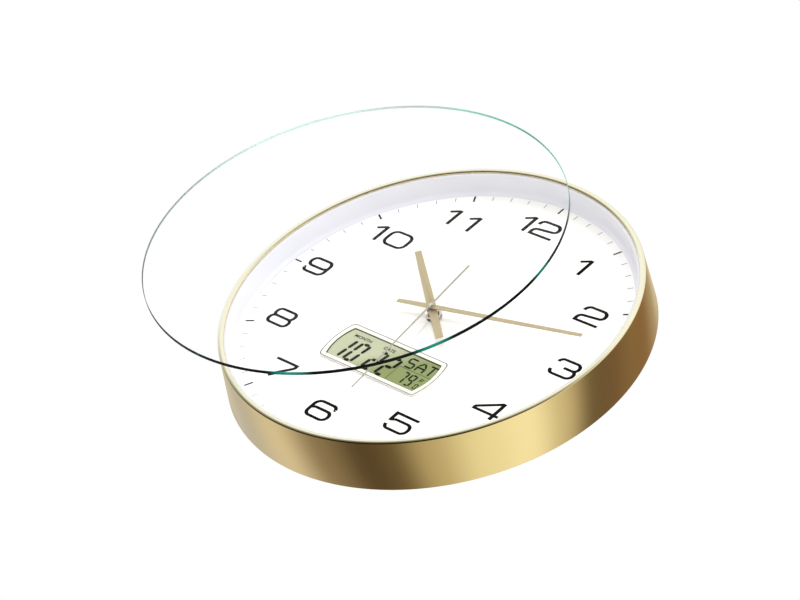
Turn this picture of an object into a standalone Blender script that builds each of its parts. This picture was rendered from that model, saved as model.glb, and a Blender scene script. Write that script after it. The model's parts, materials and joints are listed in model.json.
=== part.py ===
"""Wall clock with an analogue dial and a small calendar window, as an assembly of its separate pieces.

Blender 4.5, metres, +Z up. The clock hangs on a nail whose axis is the world origin's Y axis: the wall is the plane
y = 0, the dial faces -Y and 12 o'clock points to +Z. Every turned piece stands on the clock axis, which is parallel
to Y and runs HANG_HEIGHT below the nail.
"""

import math

import bmesh
import bpy
from mathutils import Matrix, Vector

MM = 0.001

# Clearance between neighbouring pieces, and the overrun of cutters and of shapes fused into each other
GAP = 0.3 * MM
OVERRUN = 0.5 * MM
WELD = 0.01 * MM
FILL_SCALE = 1000

# Facets of round shapes
RIM_STEPS = 66
BOSS_STEPS = 10
SHAFT_STEPS = 8
TUBE_STEPS = 14

# Case
CLOCK_DIAMETER = 304.0 * MM
RIM_FLARE = 2.9 * MM
CLOCK_DEPTH = 38.0 * MM
HANGER_INSET = 44.0 * MM
LIP_WIDTH = 4.3 * MM
LIP_THICKNESS = 1.2 * MM
LIP_CHAMFER = 0.6 * MM
RIM_ROUND = 0.8 * MM
RIM_WALL = 1.5 * MM
RIM_CURL = 1.2 * MM

# Glass, at rest drawn off its seat
GLASS_THICKNESS = 2.5 * MM
GLASS_CLEARANCE = 0.7 * MM
GLASS_CHAMFER = 0.4 * MM
GLASS_OUT = 81.7 * MM
GLASS_DOWN = 41.4 * MM
GLASS_ASIDE = 8.2 * MM

# White ring between glass and dial
LEDGE_WIDTH = 1.6 * MM
WALL_DRAFT = 0.9 * MM
RING_WALL = 1.6 * MM
RING_TOP = 1.5 * MM
RING_SKIRT = 1.5 * MM
SKIRT_OVERHANG = 2.2 * MM
BOSS_RADIUS = 2.2 * MM
BOSS_INSET = 0.1 * MM
BOSS_ROOT = 6.0 * MM
BOSS_COUNT = 6

# Dial
DIAL_DEPTH = 17.8 * MM
DIAL_THICKNESS = 2.0 * MM
DIAL_BOSS_RADIUS = 2.6 * MM
DIAL_BOSS_HEIGHT = 3.2 * MM

# Back cover
FLANGE_THICKNESS = 1.2 * MM
FLANGE_INSET = 2.0 * MM
PANEL_RECESS = 2.0 * MM
PANEL_THICKNESS = 1.8 * MM
SPIGOT_WALL = 1.2 * MM
SPIGOT_LENGTH = 7.0 * MM
RIM_LAND = 1.1 * MM
RIB_THICKNESS = 1.6 * MM
RIB_HEIGHT = 3.0 * MM
RIB_START = 95.0 * MM
RIB_ANGLES = (45, 75, 105, 255, 285, 315)
OPENING_CLEARANCE = 0.6 * MM
OPENING_ROUND = 3.0 * MM

# Screws
SCREW_RADIUS = 1.1 * MM
SCREW_HEAD_RADIUS = 2.4 * MM
SCREW_HEAD_HEIGHT = 1.3 * MM
SCREW_GRIP = 8.0 * MM
SCREW_TIP = 0.8 * MM

# Hanger
HANGER_WIDTH = 38.0 * MM
HANGER_ABOVE = 10.0 * MM
HANGER_BELOW = 22.0 * MM
HANGER_THICKNESS = 1.2 * MM
HANGER_ROUND = 2.5 * MM
NAIL_SLOT_RADIUS = 2.4 * MM
NAIL_HOLE_RADIUS = 4.8 * MM
NAIL_DROP = 10.0 * MM
POCKET_MARGIN = 3.0 * MM
HANGER_SCREW_SPACING = 28.0 * MM
HANGER_SCREW_DROP = 6.0 * MM

# Calendar window
LCD_DROP = 51.9 * MM
BEZEL_WIDTH = 95.4 * MM
BEZEL_HEIGHT = 37.0 * MM
BEZEL_BULGE = 3.2 * MM
BEZEL_ROUND = 3.4 * MM
BEZEL_FACE = 1.2 * MM
BEZEL_FLANGE = 1.4 * MM
BEZEL_BORDER = 3.4 * MM
BEZEL_LIP = 0.6 * MM
BEZEL_NECK = 1.2 * MM
NECK_WALL = 1.0 * MM
LCD_PANEL_THICKNESS = 2.2 * MM
ZEBRA_THICKNESS = 6.5 * MM
ZEBRA_WIDTH = 2.5 * MM
BOARD_THICKNESS = 1.2 * MM
HOUSING_WALL = 1.3 * MM
HOUSING_SIDE_MARGIN = 1.3 * MM
HOUSING_EDGE_MARGIN = 2.5 * MM
HOUSING_ROUND = 3.0 * MM
EAR_REACH = 6.0 * MM
EAR_THICKNESS = 1.7 * MM
EAR_RADIUS = 3.4 * MM
SWITCH_SIZE = 6.0 * MM
SWITCH_HEIGHT = 1.8 * MM
PLUNGER_RADIUS = 1.6 * MM
PLUNGER_HEIGHT = 0.3 * MM
BUTTON_RADIUS = 3.0 * MM
BUTTON_COLLAR = 1.0 * MM
COLLAR_THICKNESS = 0.8 * MM
BUTTON_STROKE = 0.8 * MM
BUTTON_RECESS = 1.2 * MM
BUTTON_CHAMFER = 0.5 * MM
BUTTON_PLACES = {"set": -33.0 * MM, "up": -18.0 * MM, "down": -3.0 * MM}
CELL_RADIUS = 10.0 * MM
CELL_THICKNESS = 2.5 * MM
CELL_EDGE = 0.4 * MM
CELL_INSET = 19.0 * MM
CLIP_THICKNESS = 0.3 * MM
CLIP_WIDTH = 8.0 * MM

# Quartz movement
BAY_END = 2.75 * MM
MOVEMENT_ROUND = 3.0 * MM
CASE_WALL = 1.4 * MM
RUBBER_THICKNESS = 0.6 * MM
RUBBER_RADIUS = 9.0 * MM
NIPPLE_RADIUS = 3.7 * MM
NIPPLE_HEIGHT = 5.2 * MM
WASHER_THICKNESS = 0.5 * MM
WASHER_RADIUS = 5.7 * MM
NUT_FLATS = 9.6 * MM
NUT_THICKNESS = 2.4 * MM
NUT_CHAMFER = 0.5 * MM
COVER_THICKNESS = 1.4 * MM
BATTERY_RADIUS = 7.25 * MM
BATTERY_LENGTH = 49.5 * MM
BATTERY_NUB_RADIUS = 2.7 * MM
BATTERY_NUB_LENGTH = 1.0 * MM
BATTERY_EDGE = 0.6 * MM
BAY_BACK_INSET = 0.5 * MM
CONTACT_THICKNESS = 0.4 * MM
CONTACT_WIDTH = 9.0 * MM
CONTACT_SPRING_RADIUS = 3.6 * MM

# Wheel train: tooth counts, modules and thicknesses
WHEEL_THICKNESS = 0.8 * MM
LEVEL_PITCH = 1.2 * MM
ROTOR_TEETH, INTERMEDIATE_TEETH = 8, 40
INTERMEDIATE_PINION_TEETH, SECOND_TEETH = 8, 48
SECOND_PINION_TEETH, THIRD_TEETH = 8, 60
THIRD_PINION_TEETH, CENTRE_TEETH = 8, 64
MINUTE_PINION_TEETH, MOTION_TEETH = 12, 36
MOTION_PINION_TEETH, HOUR_TEETH = 10, 40
ROTOR_MODULE = 0.28 * MM
SECOND_MODULE = 0.355 * MM
CENTRE_MODULE = 0.28 * MM
MINUTE_MODULE = 0.44 * MM
ADDENDUM_SHARE = 0.55
DEDENDUM_SHARE = 1.1
TIP_SHARE = 0.05
THIRD_DIRECTION = 270
MOTION_DIRECTION = 90
INTERMEDIATE_DIRECTION = 30
ROTOR_DIRECTION = -10
HOUR_PIPE_RADIUS = 2.55 * MM
HOUR_PIPE_WALL = 0.7 * MM
MINUTE_PIPE_RADIUS = 1.5 * MM
MINUTE_PIPE_WALL = 0.7 * MM
SECOND_SHAFT_RADIUS = 0.45 * MM
ARBOR_RADIUS = 0.5 * MM
MOTION_SHAFT_RADIUS = 0.7 * MM
ROTOR_ARBOR_RADIUS = 0.35 * MM
MAGNET_RADIUS = 2.7 * MM
MAGNET_THICKNESS = 1.6 * MM
STATOR_THICKNESS = 1.0 * MM
STATOR_HOLE_GAP = 0.5 * MM
STATOR_NECK = 0.6 * MM
STATOR_LENGTH = 35.0 * MM
STATOR_OVERHANG = 5.0 * MM
STATOR_ARM = 4.0 * MM
COIL_RADIUS = 3.3 * MM
COIL_GAP = 0.4 * MM
COIL_FLANGE = 1.0 * MM
COIL_FLANGE_RISE = 0.3 * MM
CORE_WIDTH = 3.0 * MM
CORE_THICKNESS = 1.0 * MM
CIRCUIT_WIDTH = 11.0 * MM
CIRCUIT_HEIGHT = 18.0 * MM
CIRCUIT_THICKNESS = 0.8 * MM
CHIP_RADIUS = 2.8 * MM
CHIP_HEIGHT = 0.5 * MM
POST_RADIUS = 1.2 * MM
CHAMBER_DEPTH = 10.8 * MM
KNOB_RADIUS = 5.5 * MM
KNOB_THICKNESS = 2.0 * MM
KNOB_FLUTES = 16
KNOB_FLUTE_DEPTH = 0.35 * MM
KNOB_FLOOR = 0.6 * MM

# Hands: lengths from the clock axis, full widths, and at the end their turn clockwise from 12 o'clock in degrees
HAND_THICKNESS = 0.6 * MM
COLLET_WALL = 1.1 * MM
HOUR_COLLET_HEIGHT = 1.7 * MM
SMALL_COLLET_HEIGHT = 0.6 * MM
HOUR_REACH = 69.5 * MM
HOUR_TAIL = 34.0 * MM
HOUR_TIP_WIDTH = 5.0 * MM
HOUR_HUB_WIDTH = 6.4 * MM
HOUR_TAIL_WIDTH = 5.4 * MM
MINUTE_REACH = 116.0 * MM
MINUTE_TAIL = 27.4 * MM
MINUTE_TIP_WIDTH = 3.4 * MM
MINUTE_HUB_WIDTH = 4.6 * MM
MINUTE_TAIL_WIDTH = 4.0 * MM
SECOND_REACH = 92.5 * MM
SECOND_TAIL = 46.0 * MM
SECOND_TIP_WIDTH = 1.0 * MM
SECOND_HUB_WIDTH = 1.4 * MM
SECOND_TAIL_WIDTH = 2.0 * MM
SECOND_HAND_THICKNESS = 0.4 * MM
SECOND_HUB_RADIUS = 1.6 * MM
HOUR_HAND_DEGREES = 308.8
MINUTE_HAND_DEGREES = 76.4
SECOND_HAND_DEGREES = 172.9

# Sizes that follow from the ones above
HANG_HEIGHT = CLOCK_DIAMETER / 2 - HANGER_INSET
HOUSING_WIDTH = BEZEL_WIDTH + 2 * HOUSING_SIDE_MARGIN
HOUSING_HEIGHT = BEZEL_HEIGHT + 2 * HOUSING_EDGE_MARGIN
CELL_PLACE = HOUSING_WIDTH / 2 - CELL_INSET
MOVEMENT_SIZE = BATTERY_LENGTH + BATTERY_NUB_LENGTH + 2 * BAY_END

# Planes along the clock axis
FRONT_Y = -CLOCK_DEPTH
CURL_Y = -FLANGE_THICKNESS - GAP
LIP_BACK_Y = FRONT_Y + LIP_THICKNESS
RING_TOP_Y = LIP_BACK_Y + GAP
DIAL_Y = FRONT_Y + DIAL_DEPTH
DIAL_BACK_Y = DIAL_Y + DIAL_THICKNESS
PANEL_BACK_Y = -PANEL_RECESS
PANEL_FRONT_Y = PANEL_BACK_Y - PANEL_THICKNESS
CASE_FRONT_Y = DIAL_BACK_Y + GAP + RUBBER_THICKNESS + GAP
CHAMBER_FRONT_Y = CASE_FRONT_Y + CASE_WALL
CHAMBER_BACK_Y = CHAMBER_FRONT_Y + CHAMBER_DEPTH
COVER_BACK_Y = CHAMBER_BACK_Y + COVER_THICKNESS
BATTERY_Y = CHAMBER_FRONT_Y + GAP + BATTERY_RADIUS
BAY_BACK_Y = BATTERY_Y + BATTERY_RADIUS - BAY_BACK_INSET
STATOR_Y = CHAMBER_FRONT_Y + GAP + 6 * LEVEL_PITCH + GAP
CIRCUIT_Y = STATOR_Y + STATOR_THICKNESS + GAP
HOUSING_Y = DIAL_BACK_Y + GAP
NECK_BACK_Y = DIAL_BACK_Y + BEZEL_NECK
BEZEL_Y = DIAL_Y - GAP - BEZEL_FACE
LCD_Y = BEZEL_Y + BEZEL_LIP + GAP
ZEBRA_Y = LCD_Y + LCD_PANEL_THICKNESS + GAP
BOARD_Y = ZEBRA_Y + ZEBRA_THICKNESS + GAP
BOARD_BACK_Y = BOARD_Y + BOARD_THICKNESS
PLUNGER_BACK_Y = BOARD_BACK_Y + GAP + SWITCH_HEIGHT + PLUNGER_HEIGHT
COLLAR_Y = PLUNGER_BACK_Y + GAP + BUTTON_STROKE
FLOOR_Y = COLLAR_Y + COLLAR_THICKNESS + GAP
FLOOR_BACK_Y = FLOOR_Y + HOUSING_WALL

# Heights of the hands' stack in front of the dial
HOUR_COLLET_Y = DIAL_Y - NIPPLE_HEIGHT - GAP - HOUR_COLLET_HEIGHT
HOUR_HAND_Y = HOUR_COLLET_Y - GAP - HAND_THICKNESS
MINUTE_COLLET_Y = HOUR_HAND_Y - GAP - SMALL_COLLET_HEIGHT
MINUTE_HAND_Y = MINUTE_COLLET_Y - GAP - HAND_THICKNESS
SECOND_COLLET_Y = MINUTE_HAND_Y - GAP - SMALL_COLLET_HEIGHT
SECOND_HAND_Y = SECOND_COLLET_Y - GAP - SECOND_HAND_THICKNESS

# Radii that follow from the case
REAR_RADIUS = CLOCK_DIAMETER / 2
FRONT_RADIUS = REAR_RADIUS - RIM_FLARE
MOUTH_RADIUS = FRONT_RADIUS - LIP_WIDTH
GLASS_RADIUS = MOUTH_RADIUS - GLASS_CLEARANCE
RING_RADIUS = FRONT_RADIUS - RIM_WALL - GAP
LEDGE_RADIUS = MOUTH_RADIUS - LEDGE_WIDTH
SKIRT_RADIUS = RING_RADIUS - RING_SKIRT
DIAL_RADIUS = SKIRT_RADIUS - GAP
BOSS_CIRCLE = RING_RADIUS - BOSS_RADIUS - BOSS_INSET
NOTCH_RADIUS = BOSS_RADIUS + GAP
HOLE_RADIUS = SCREW_RADIUS + GAP

# Centre distances of the wheels
CENTRE_DISTANCE = (THIRD_PINION_TEETH + CENTRE_TEETH) * CENTRE_MODULE / 2
THIRD_MODULE = 2 * CENTRE_DISTANCE / (SECOND_PINION_TEETH + THIRD_TEETH)
MOTION_DISTANCE = (MINUTE_PINION_TEETH + MOTION_TEETH) * MINUTE_MODULE / 2
HOUR_MODULE = 2 * MOTION_DISTANCE / (MOTION_PINION_TEETH + HOUR_TEETH)
SECOND_DISTANCE = (INTERMEDIATE_PINION_TEETH + SECOND_TEETH) * SECOND_MODULE / 2
ROTOR_DISTANCE = (ROTOR_TEETH + INTERMEDIATE_TEETH) * ROTOR_MODULE / 2


# Places and outlines


def polar(radius, turn, centre=(0, 0)):
    """Point at a radius and a turn, in degrees clockwise from 12 o'clock as seen from the front, as (x, z)."""
    angle = math.radians(turn)
    return centre[0] + radius * math.sin(angle), centre[1] + radius * math.cos(angle)


def circle(radius, steps, centre=(0, 0)):
    """Round outline with a facet, not a corner, at 12 o'clock."""
    return [polar(radius, 360 * (step + 0.5) / steps, centre) for step in range(steps)]


def filleted(corners, steps=2):
    """Outline through (point, fillet radius) corners, each fillet as a short arc."""
    outline = []
    for index, (corner, radius) in enumerate(corners):
        here = Vector(corner)
        if radius == 0:
            outline.append(tuple(here))
            continue
        before = (Vector(corners[index - 1][0]) - here).normalized()
        after = (Vector(corners[(index + 1) % len(corners)][0]) - here).normalized()
        half = before.angle(after) / 2
        centre = here + (before + after).normalized() * radius / math.sin(half)
        start = here + before * radius / math.tan(half) - centre
        end = here + after * radius / math.tan(half) - centre
        sweep = -start.angle_signed(end)
        for step in range(steps + 1):
            outline.append(tuple(centre + Matrix.Rotation(sweep * step / steps, 2) @ start))
    return outline


def rounded_rectangle(width, height, radius, centre=(0, 0), steps=2):
    x, z = width / 2, height / 2
    corners = [(-x, -z), (x, -z), (x, z), (-x, z)]
    return filleted([((centre[0] + a, centre[1] + b), radius) for a, b in corners], steps)


def barrel(width, height, bulge, radius, centre=(0, 0), steps=4):
    """Window outline: straight long sides, short sides bowed outward, rounded corners."""
    right = []
    for step in range(steps + 1):
        share = 1 - 2 * step / steps
        place = (width / 2 - bulge * share * share, height / 2 * share)
        right.append((place, radius if step in (0, steps) else 0))
    left = [((-x, -z), r) for (x, z), r in right]
    return filleted([((centre[0] + x, centre[1] + z), r) for (x, z), r in right + left])


def gear_outline(teeth, module):
    """Tapered teeth with a narrow tip and one point at each root, the first tooth at 12 o'clock."""
    radius = teeth * module / 2
    tip, root = radius + ADDENDUM_SHARE * module, radius - DEDENDUM_SHARE * module
    pitch = 360 / teeth
    outline = []
    for tooth in range(teeth):
        turn = tooth * pitch
        outline.append(polar(tip, turn - TIP_SHARE * pitch))
        outline.append(polar(tip, turn + TIP_SHARE * pitch))
        outline.append(polar(root, turn + pitch / 2))
    return outline


def meshed_turn(driver_turn, driver_teeth, direction, teeth):
    """Turn of a wheel that lies in the given direction from its driver, so that a gap meets each tooth."""
    phase = (direction - driver_turn) * driver_teeth / 360
    return direction + 180 - (0.5 - phase) * 360 / teeth


# Meshes


def mesh_object(name, bm):
    bmesh.ops.recalc_face_normals(bm, faces=bm.faces)
    mesh = bpy.data.meshes.new(name)
    bm.to_mesh(mesh)
    bm.free()
    thing = bpy.data.objects.new(name, mesh)
    bpy.context.scene.collection.objects.link(thing)
    return thing


def plate(name, outline, front, back, holes=()):
    """Flat piece with an outline in X and Z, from y = front to y = back, with holes that go through."""
    bm = bmesh.new()
    edges = []
    for loop in [outline, *holes]:
        corners = [bm.verts.new((x * FILL_SCALE, 0, z * FILL_SCALE)) for x, z in loop]
        edges += [bm.edges.new(pair) for pair in zip(corners, corners[1:] + corners[:1])]
    bmesh.ops.triangle_fill(bm, use_beauty=True, use_dissolve=False, edges=edges)
    bmesh.ops.scale(bm, vec=(1 / FILL_SCALE, 1, 1 / FILL_SCALE), verts=bm.verts)
    bmesh.ops.translate(bm, vec=(0, front, 0), verts=bm.verts)
    grown = bmesh.ops.extrude_face_region(bm, geom=bm.faces[:])["geom"]
    moved = [item for item in grown if isinstance(item, bmesh.types.BMVert)]
    bmesh.ops.translate(bm, vec=(0, back - front, 0), verts=moved)
    return mesh_object(name, bm)


def turned(name, profile, steps=RIM_STEPS, closed=True):
    """Solid turned about the Y axis from (radius, y) points. An open profile starts and ends on the axis."""
    bm = bmesh.new()
    points = [bm.verts.new((0, y, radius)) for radius, y in profile]
    pairs = list(zip(points, points[1:] + points[:1] if closed else points[1:]))
    edges = [bm.edges.new(pair) for pair in pairs]
    bmesh.ops.spin(bm, geom=points + edges, cent=(0, 0, 0), axis=(0, 1, 0), angle=2 * math.pi, steps=steps)
    bmesh.ops.remove_doubles(bm, verts=bm.verts, dist=WELD)
    return mesh_object(name, bm)


def rod(name, radius, front, back, steps=SHAFT_STEPS, centre=(0, 0)):
    return plate(name, circle(radius, steps, centre), front, back)


def tube(name, outer, inner, front, back, steps=TUBE_STEPS):
    return plate(name, circle(outer, steps), front, back, [circle(inner, steps)])


def helper(tool, piece):
    tool.parent = piece
    tool.hide_render = True
    tool.display_type = "WIRE"


def combine(piece, tool, operation):
    helper(tool, piece)
    step = piece.modifiers.new(f"{operation} {tool.name}", "BOOLEAN")
    step.operation = operation
    step.object = tool
    step.solver = "EXACT"


def fuse(piece, *tools):
    for tool in tools:
        combine(piece, tool, "UNION")
    return piece


def cut(piece, *tools):
    for tool in tools:
        combine(piece, tool, "DIFFERENCE")
    return piece


# Materials and places


def material(name, colour, roughness, metallic=0.0, alpha=1.0):
    finish = bpy.data.materials.get(name)
    if finish is None:
        finish = bpy.data.materials.new(name)
        finish.use_nodes = True
        shader = finish.node_tree.nodes["Principled BSDF"]
        shader.inputs["Base Color"].default_value = (*colour, 1.0)
        shader.inputs["Roughness"].default_value = roughness
        shader.inputs["Metallic"].default_value = metallic
        shader.inputs["Alpha"].default_value = alpha
    return finish


FINISHES = {
    "gold_aluminium": ((0.66, 0.47, 0.17), 0.28, 1.0),
    "hand_gold": ((0.60, 0.50, 0.28), 0.42, 1.0),
    "clear_glass": ((0.80, 0.95, 0.93), 0.02, 0.0, 0.3),
    "white_plastic": ((0.85, 0.86, 0.88), 0.40),
    "white_print": ((0.92, 0.92, 0.92), 0.55),
    "black_plastic": ((0.025, 0.025, 0.027), 0.50),
    "grey_plastic": ((0.22, 0.23, 0.24), 0.45),
    "zinc_steel": ((0.62, 0.63, 0.64), 0.32, 1.0),
    "chrome": ((0.80, 0.80, 0.82), 0.08, 1.0),
    "brass": ((0.75, 0.55, 0.22), 0.25, 1.0),
    "lcd_glass": ((0.46, 0.53, 0.33), 0.15),
    "board_green": ((0.03, 0.20, 0.09), 0.40),
    "rubber": ((0.04, 0.04, 0.04), 0.80),
    "gear_plastic": ((0.80, 0.80, 0.74), 0.40),
    "copper_wire": ((0.72, 0.30, 0.12), 0.30, 1.0),
    "magnet": ((0.12, 0.12, 0.13), 0.45, 0.6),
    "battery_sleeve": ((0.05, 0.07, 0.10), 0.30),
}


def finish(piece, name, smooth=True):
    piece.data.materials.clear()
    piece.data.materials.append(material(name, *FINISHES[name]))
    if smooth:
        piece.data.shade_smooth()
        piece.data.set_sharp_from_angle(angle=math.radians(35))
    return piece


def make_clock_axis():
    axis = bpy.data.objects.new("clock_axis", None)
    bpy.context.scene.collection.objects.link(axis)
    axis.location = (0, 0, -HANG_HEIGHT)


def place(piece, at=(0, 0), turn=0.0):
    """Hangs a piece on the clock axis, at an (x, z) place from it and turned clockwise as seen from the front."""
    piece.parent = bpy.data.objects["clock_axis"]
    piece.location = (at[0], 0, at[1])
    piece.rotation_euler = (0, math.radians(turn), 0)
    return piece


# Case pieces


def rim_radius(y):
    """Outer radius of the rim, which widens evenly from front to back."""
    share = (y - FRONT_Y) / CLOCK_DEPTH
    return FRONT_RADIUS + (REAR_RADIUS - FRONT_RADIUS) * share


def make_rim():
    """Spun band with a flat lip in front and, inside its back edge, a curl on which the cover's flange lies."""
    curl = REAR_RADIUS - RIM_WALL - RIM_CURL
    profile = [
        (MOUTH_RADIUS, LIP_BACK_Y),
        (MOUTH_RADIUS, FRONT_Y + LIP_CHAMFER),
        (MOUTH_RADIUS + LIP_CHAMFER, FRONT_Y),
        (FRONT_RADIUS - RIM_ROUND, FRONT_Y),
        (FRONT_RADIUS - RIM_ROUND * 0.3, FRONT_Y + RIM_ROUND * 0.3),
        (rim_radius(FRONT_Y + RIM_ROUND), FRONT_Y + RIM_ROUND),
        (REAR_RADIUS, 0),
        (REAR_RADIUS - RIM_WALL, 0),
        (rim_radius(CURL_Y) - RIM_WALL, CURL_Y),
        (curl, CURL_Y),
        (curl, CURL_Y - RIM_WALL),
        (rim_radius(CURL_Y - RIM_WALL) - RIM_WALL, CURL_Y - RIM_WALL),
        (rim_radius(LIP_BACK_Y) - RIM_WALL, LIP_BACK_Y),
    ]
    return place(finish(turned("rim", profile), "gold_aluminium"))


def make_glass():
    """The glass hangs where it is drawn off: forward of its seat, and down and aside by the slope of its path."""
    seat_back = RING_TOP_Y - GAP
    back = seat_back - GLASS_OUT
    front = back - GLASS_THICKNESS
    profile = [
        (0, front),
        (GLASS_RADIUS - GLASS_CHAMFER, front),
        (GLASS_RADIUS, front + GLASS_CHAMFER),
        (GLASS_RADIUS, back - GLASS_CHAMFER),
        (GLASS_RADIUS - GLASS_CHAMFER, back),
        (0, back),
    ]
    glass = turned("glass_lens", profile, closed=False)
    return place(finish(glass, "clear_glass"), (-GLASS_ASIDE, -GLASS_DOWN))


def make_reflector_ring():
    foot = DIAL_Y - GAP
    profile = [
        (LEDGE_RADIUS, RING_TOP_Y),
        (RING_RADIUS, RING_TOP_Y),
        (RING_RADIUS, DIAL_BACK_Y + SKIRT_OVERHANG),
        (SKIRT_RADIUS, DIAL_BACK_Y + SKIRT_OVERHANG),
        (SKIRT_RADIUS, RING_TOP_Y + RING_TOP),
        (LEDGE_RADIUS + RING_WALL, RING_TOP_Y + RING_TOP),
        (LEDGE_RADIUS - WALL_DRAFT + RING_WALL, foot),
        (LEDGE_RADIUS - WALL_DRAFT, foot),
    ]
    ring = turned("reflector_ring", profile)
    boss_back = PANEL_FRONT_Y - GAP
    for index in range(BOSS_COUNT):
        centre = polar(BOSS_CIRCLE, screw_turn(index))
        boss = rod(f"boss_{index}", BOSS_RADIUS, foot - BOSS_ROOT, boss_back, BOSS_STEPS, centre)
        fuse(ring, boss)
    for index in range(BOSS_COUNT):
        centre = polar(BOSS_CIRCLE, screw_turn(index))
        start = boss_back - SCREW_GRIP - GAP
        cut(ring, rod(f"boss_hole_{index}", HOLE_RADIUS, start, boss_back + OVERRUN, BOSS_STEPS, centre))
    return place(finish(ring, "white_plastic"))


def screw_turn(index):
    return 360 * (index + 0.5) / BOSS_COUNT


def bezel_outline(inset):
    """Outline of the calendar window drawn in from the bezel's own edge."""
    width, height = BEZEL_WIDTH - 2 * inset, BEZEL_HEIGHT - 2 * inset
    radius = max(BEZEL_ROUND - inset, BEZEL_ROUND / 4)
    return barrel(width, height, BEZEL_BULGE, radius, (0, -LCD_DROP))


def notched_circle(radius, notch, count):
    """Disc outline with round notches cut into its edge where the screw bosses stand."""
    outline = []
    reach = math.degrees(notch / BOSS_CIRCLE)
    for index in range(count):
        turn = screw_turn(index)
        centre = polar(BOSS_CIRCLE, turn)
        depth = BOSS_CIRCLE - notch
        outline += [
            polar(radius, turn - reach),
            polar(BOSS_CIRCLE, turn - reach),
            polar(notch, turn + 225, centre),
            polar(depth, turn),
            polar(notch, turn + 135, centre),
            polar(BOSS_CIRCLE, turn + reach),
            polar(radius, turn + reach),
        ]
        steps = RIM_STEPS // count - 1
        room = 360 / count - 2 * reach
        outline += [polar(radius, turn + reach + room * step / steps) for step in range(1, steps)]
    return outline


def housing_screw_place(side):
    return side * (HOUSING_WIDTH / 2 + EAR_REACH - EAR_RADIUS), -LCD_DROP


def make_dial():
    window = bezel_outline(BEZEL_FLANGE - GAP)
    centre_hole = circle(NIPPLE_RADIUS + GAP, TUBE_STEPS)
    outline = notched_circle(DIAL_RADIUS, NOTCH_RADIUS, BOSS_COUNT)
    dial = plate("dial_plate", outline, DIAL_Y, DIAL_BACK_Y, [window, centre_hole])
    top = DIAL_BACK_Y + DIAL_BOSS_HEIGHT
    for side, word in ((-1, "left"), (1, "right")):
        spot = housing_screw_place(side)
        fuse(dial, rod(f"dial_boss_{word}", DIAL_BOSS_RADIUS, DIAL_BACK_Y - OVERRUN, top, BOSS_STEPS, spot))
        cut(dial, rod(f"dial_hole_{word}", HOLE_RADIUS, DIAL_BACK_Y + GAP, top + OVERRUN, BOSS_STEPS, spot))
    return place(finish(dial, "white_print"))


def make_back_cover():
    outer = REAR_RADIUS - RIM_WALL - RIM_CURL - GAP
    spigot_front = CURL_Y + GAP - SPIGOT_LENGTH
    profile = [
        (0, PANEL_FRONT_Y),
        (outer - SPIGOT_WALL, PANEL_FRONT_Y),
        (outer - SPIGOT_WALL, spigot_front),
        (outer, spigot_front),
        (outer, -FLANGE_THICKNESS),
        (REAR_RADIUS - FLANGE_INSET, -FLANGE_THICKNESS),
        (REAR_RADIUS - FLANGE_INSET, 0),
        (outer - RIM_LAND, 0),
        (outer - RIM_LAND, PANEL_BACK_Y),
        (0, PANEL_BACK_Y),
    ]
    cover = turned("back_cover", profile, closed=False)
    rib_end = outer - SPIGOT_WALL / 2
    for turn in RIB_ANGLES:
        rib = plate(
            f"rib_{turn}",
            [(-RIB_THICKNESS / 2, RIB_START), (RIB_THICKNESS / 2, RIB_START),
             (RIB_THICKNESS / 2, rib_end), (-RIB_THICKNESS / 2, rib_end)],
            PANEL_FRONT_Y - RIB_HEIGHT,
            PANEL_FRONT_Y + PANEL_THICKNESS / 2,
        )
        rib.rotation_euler = (0, math.radians(turn), 0)
        fuse(cover, rib)
    reach = PANEL_FRONT_Y - OVERRUN, PANEL_BACK_Y + OVERRUN
    side = MOVEMENT_SIZE + 2 * OPENING_CLEARANCE
    cut(cover, plate("movement_opening", rounded_rectangle(side, side, OPENING_ROUND), *reach))
    width, height = HOUSING_WIDTH + 2 * OPENING_CLEARANCE, HOUSING_HEIGHT + 2 * OPENING_CLEARANCE
    opening = rounded_rectangle(width, height, OPENING_ROUND, (0, -LCD_DROP))
    cut(cover, plate("module_opening", opening, *reach))
    cut(cover, plate("nail_pocket", nail_pocket(), *reach))
    for index in range(BOSS_COUNT):
        centre = polar(BOSS_CIRCLE, screw_turn(index))
        cut(cover, rod(f"cover_hole_{index}", HOLE_RADIUS, *reach, BOSS_STEPS, centre))
    for side, word in ((-1, "left"), (1, "right")):
        cut(cover, rod(f"hanger_hole_{word}", HOLE_RADIUS, *reach, BOSS_STEPS, hanger_screw_place(side)))
    return place(finish(cover, "black_plastic"))


def make_back_screws():
    """Head against the cover's back, shank through the panel into the ring's boss."""
    for index in range(BOSS_COUNT):
        under_head = PANEL_BACK_Y + GAP
        tip = PANEL_FRONT_Y - GAP - SCREW_GRIP
        screw = make_screw(f"back_screw_{index + 1}", under_head, tip)
        place(screw, polar(BOSS_CIRCLE, screw_turn(index)))


def make_screw(name, under_head, tip):
    """Screw about its own axis. The head lies on the side of under_head that is away from the tip."""
    way = 1 if under_head > tip else -1
    head = under_head + way * SCREW_HEAD_HEIGHT
    profile = [
        (0, tip),
        (SCREW_RADIUS, tip + way * SCREW_TIP),
        (SCREW_RADIUS, under_head),
        (SCREW_HEAD_RADIUS, under_head),
        (SCREW_HEAD_RADIUS, head - way * SCREW_HEAD_HEIGHT / 2),
        (SCREW_HEAD_RADIUS * 0.7, head),
        (0, head),
    ]
    return finish(turned(name, profile, BOSS_STEPS, closed=False), "zinc_steel")


# Hanger


def hanger_screw_place(side):
    return side * HANGER_SCREW_SPACING / 2, HANG_HEIGHT - HANGER_SCREW_DROP


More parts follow.
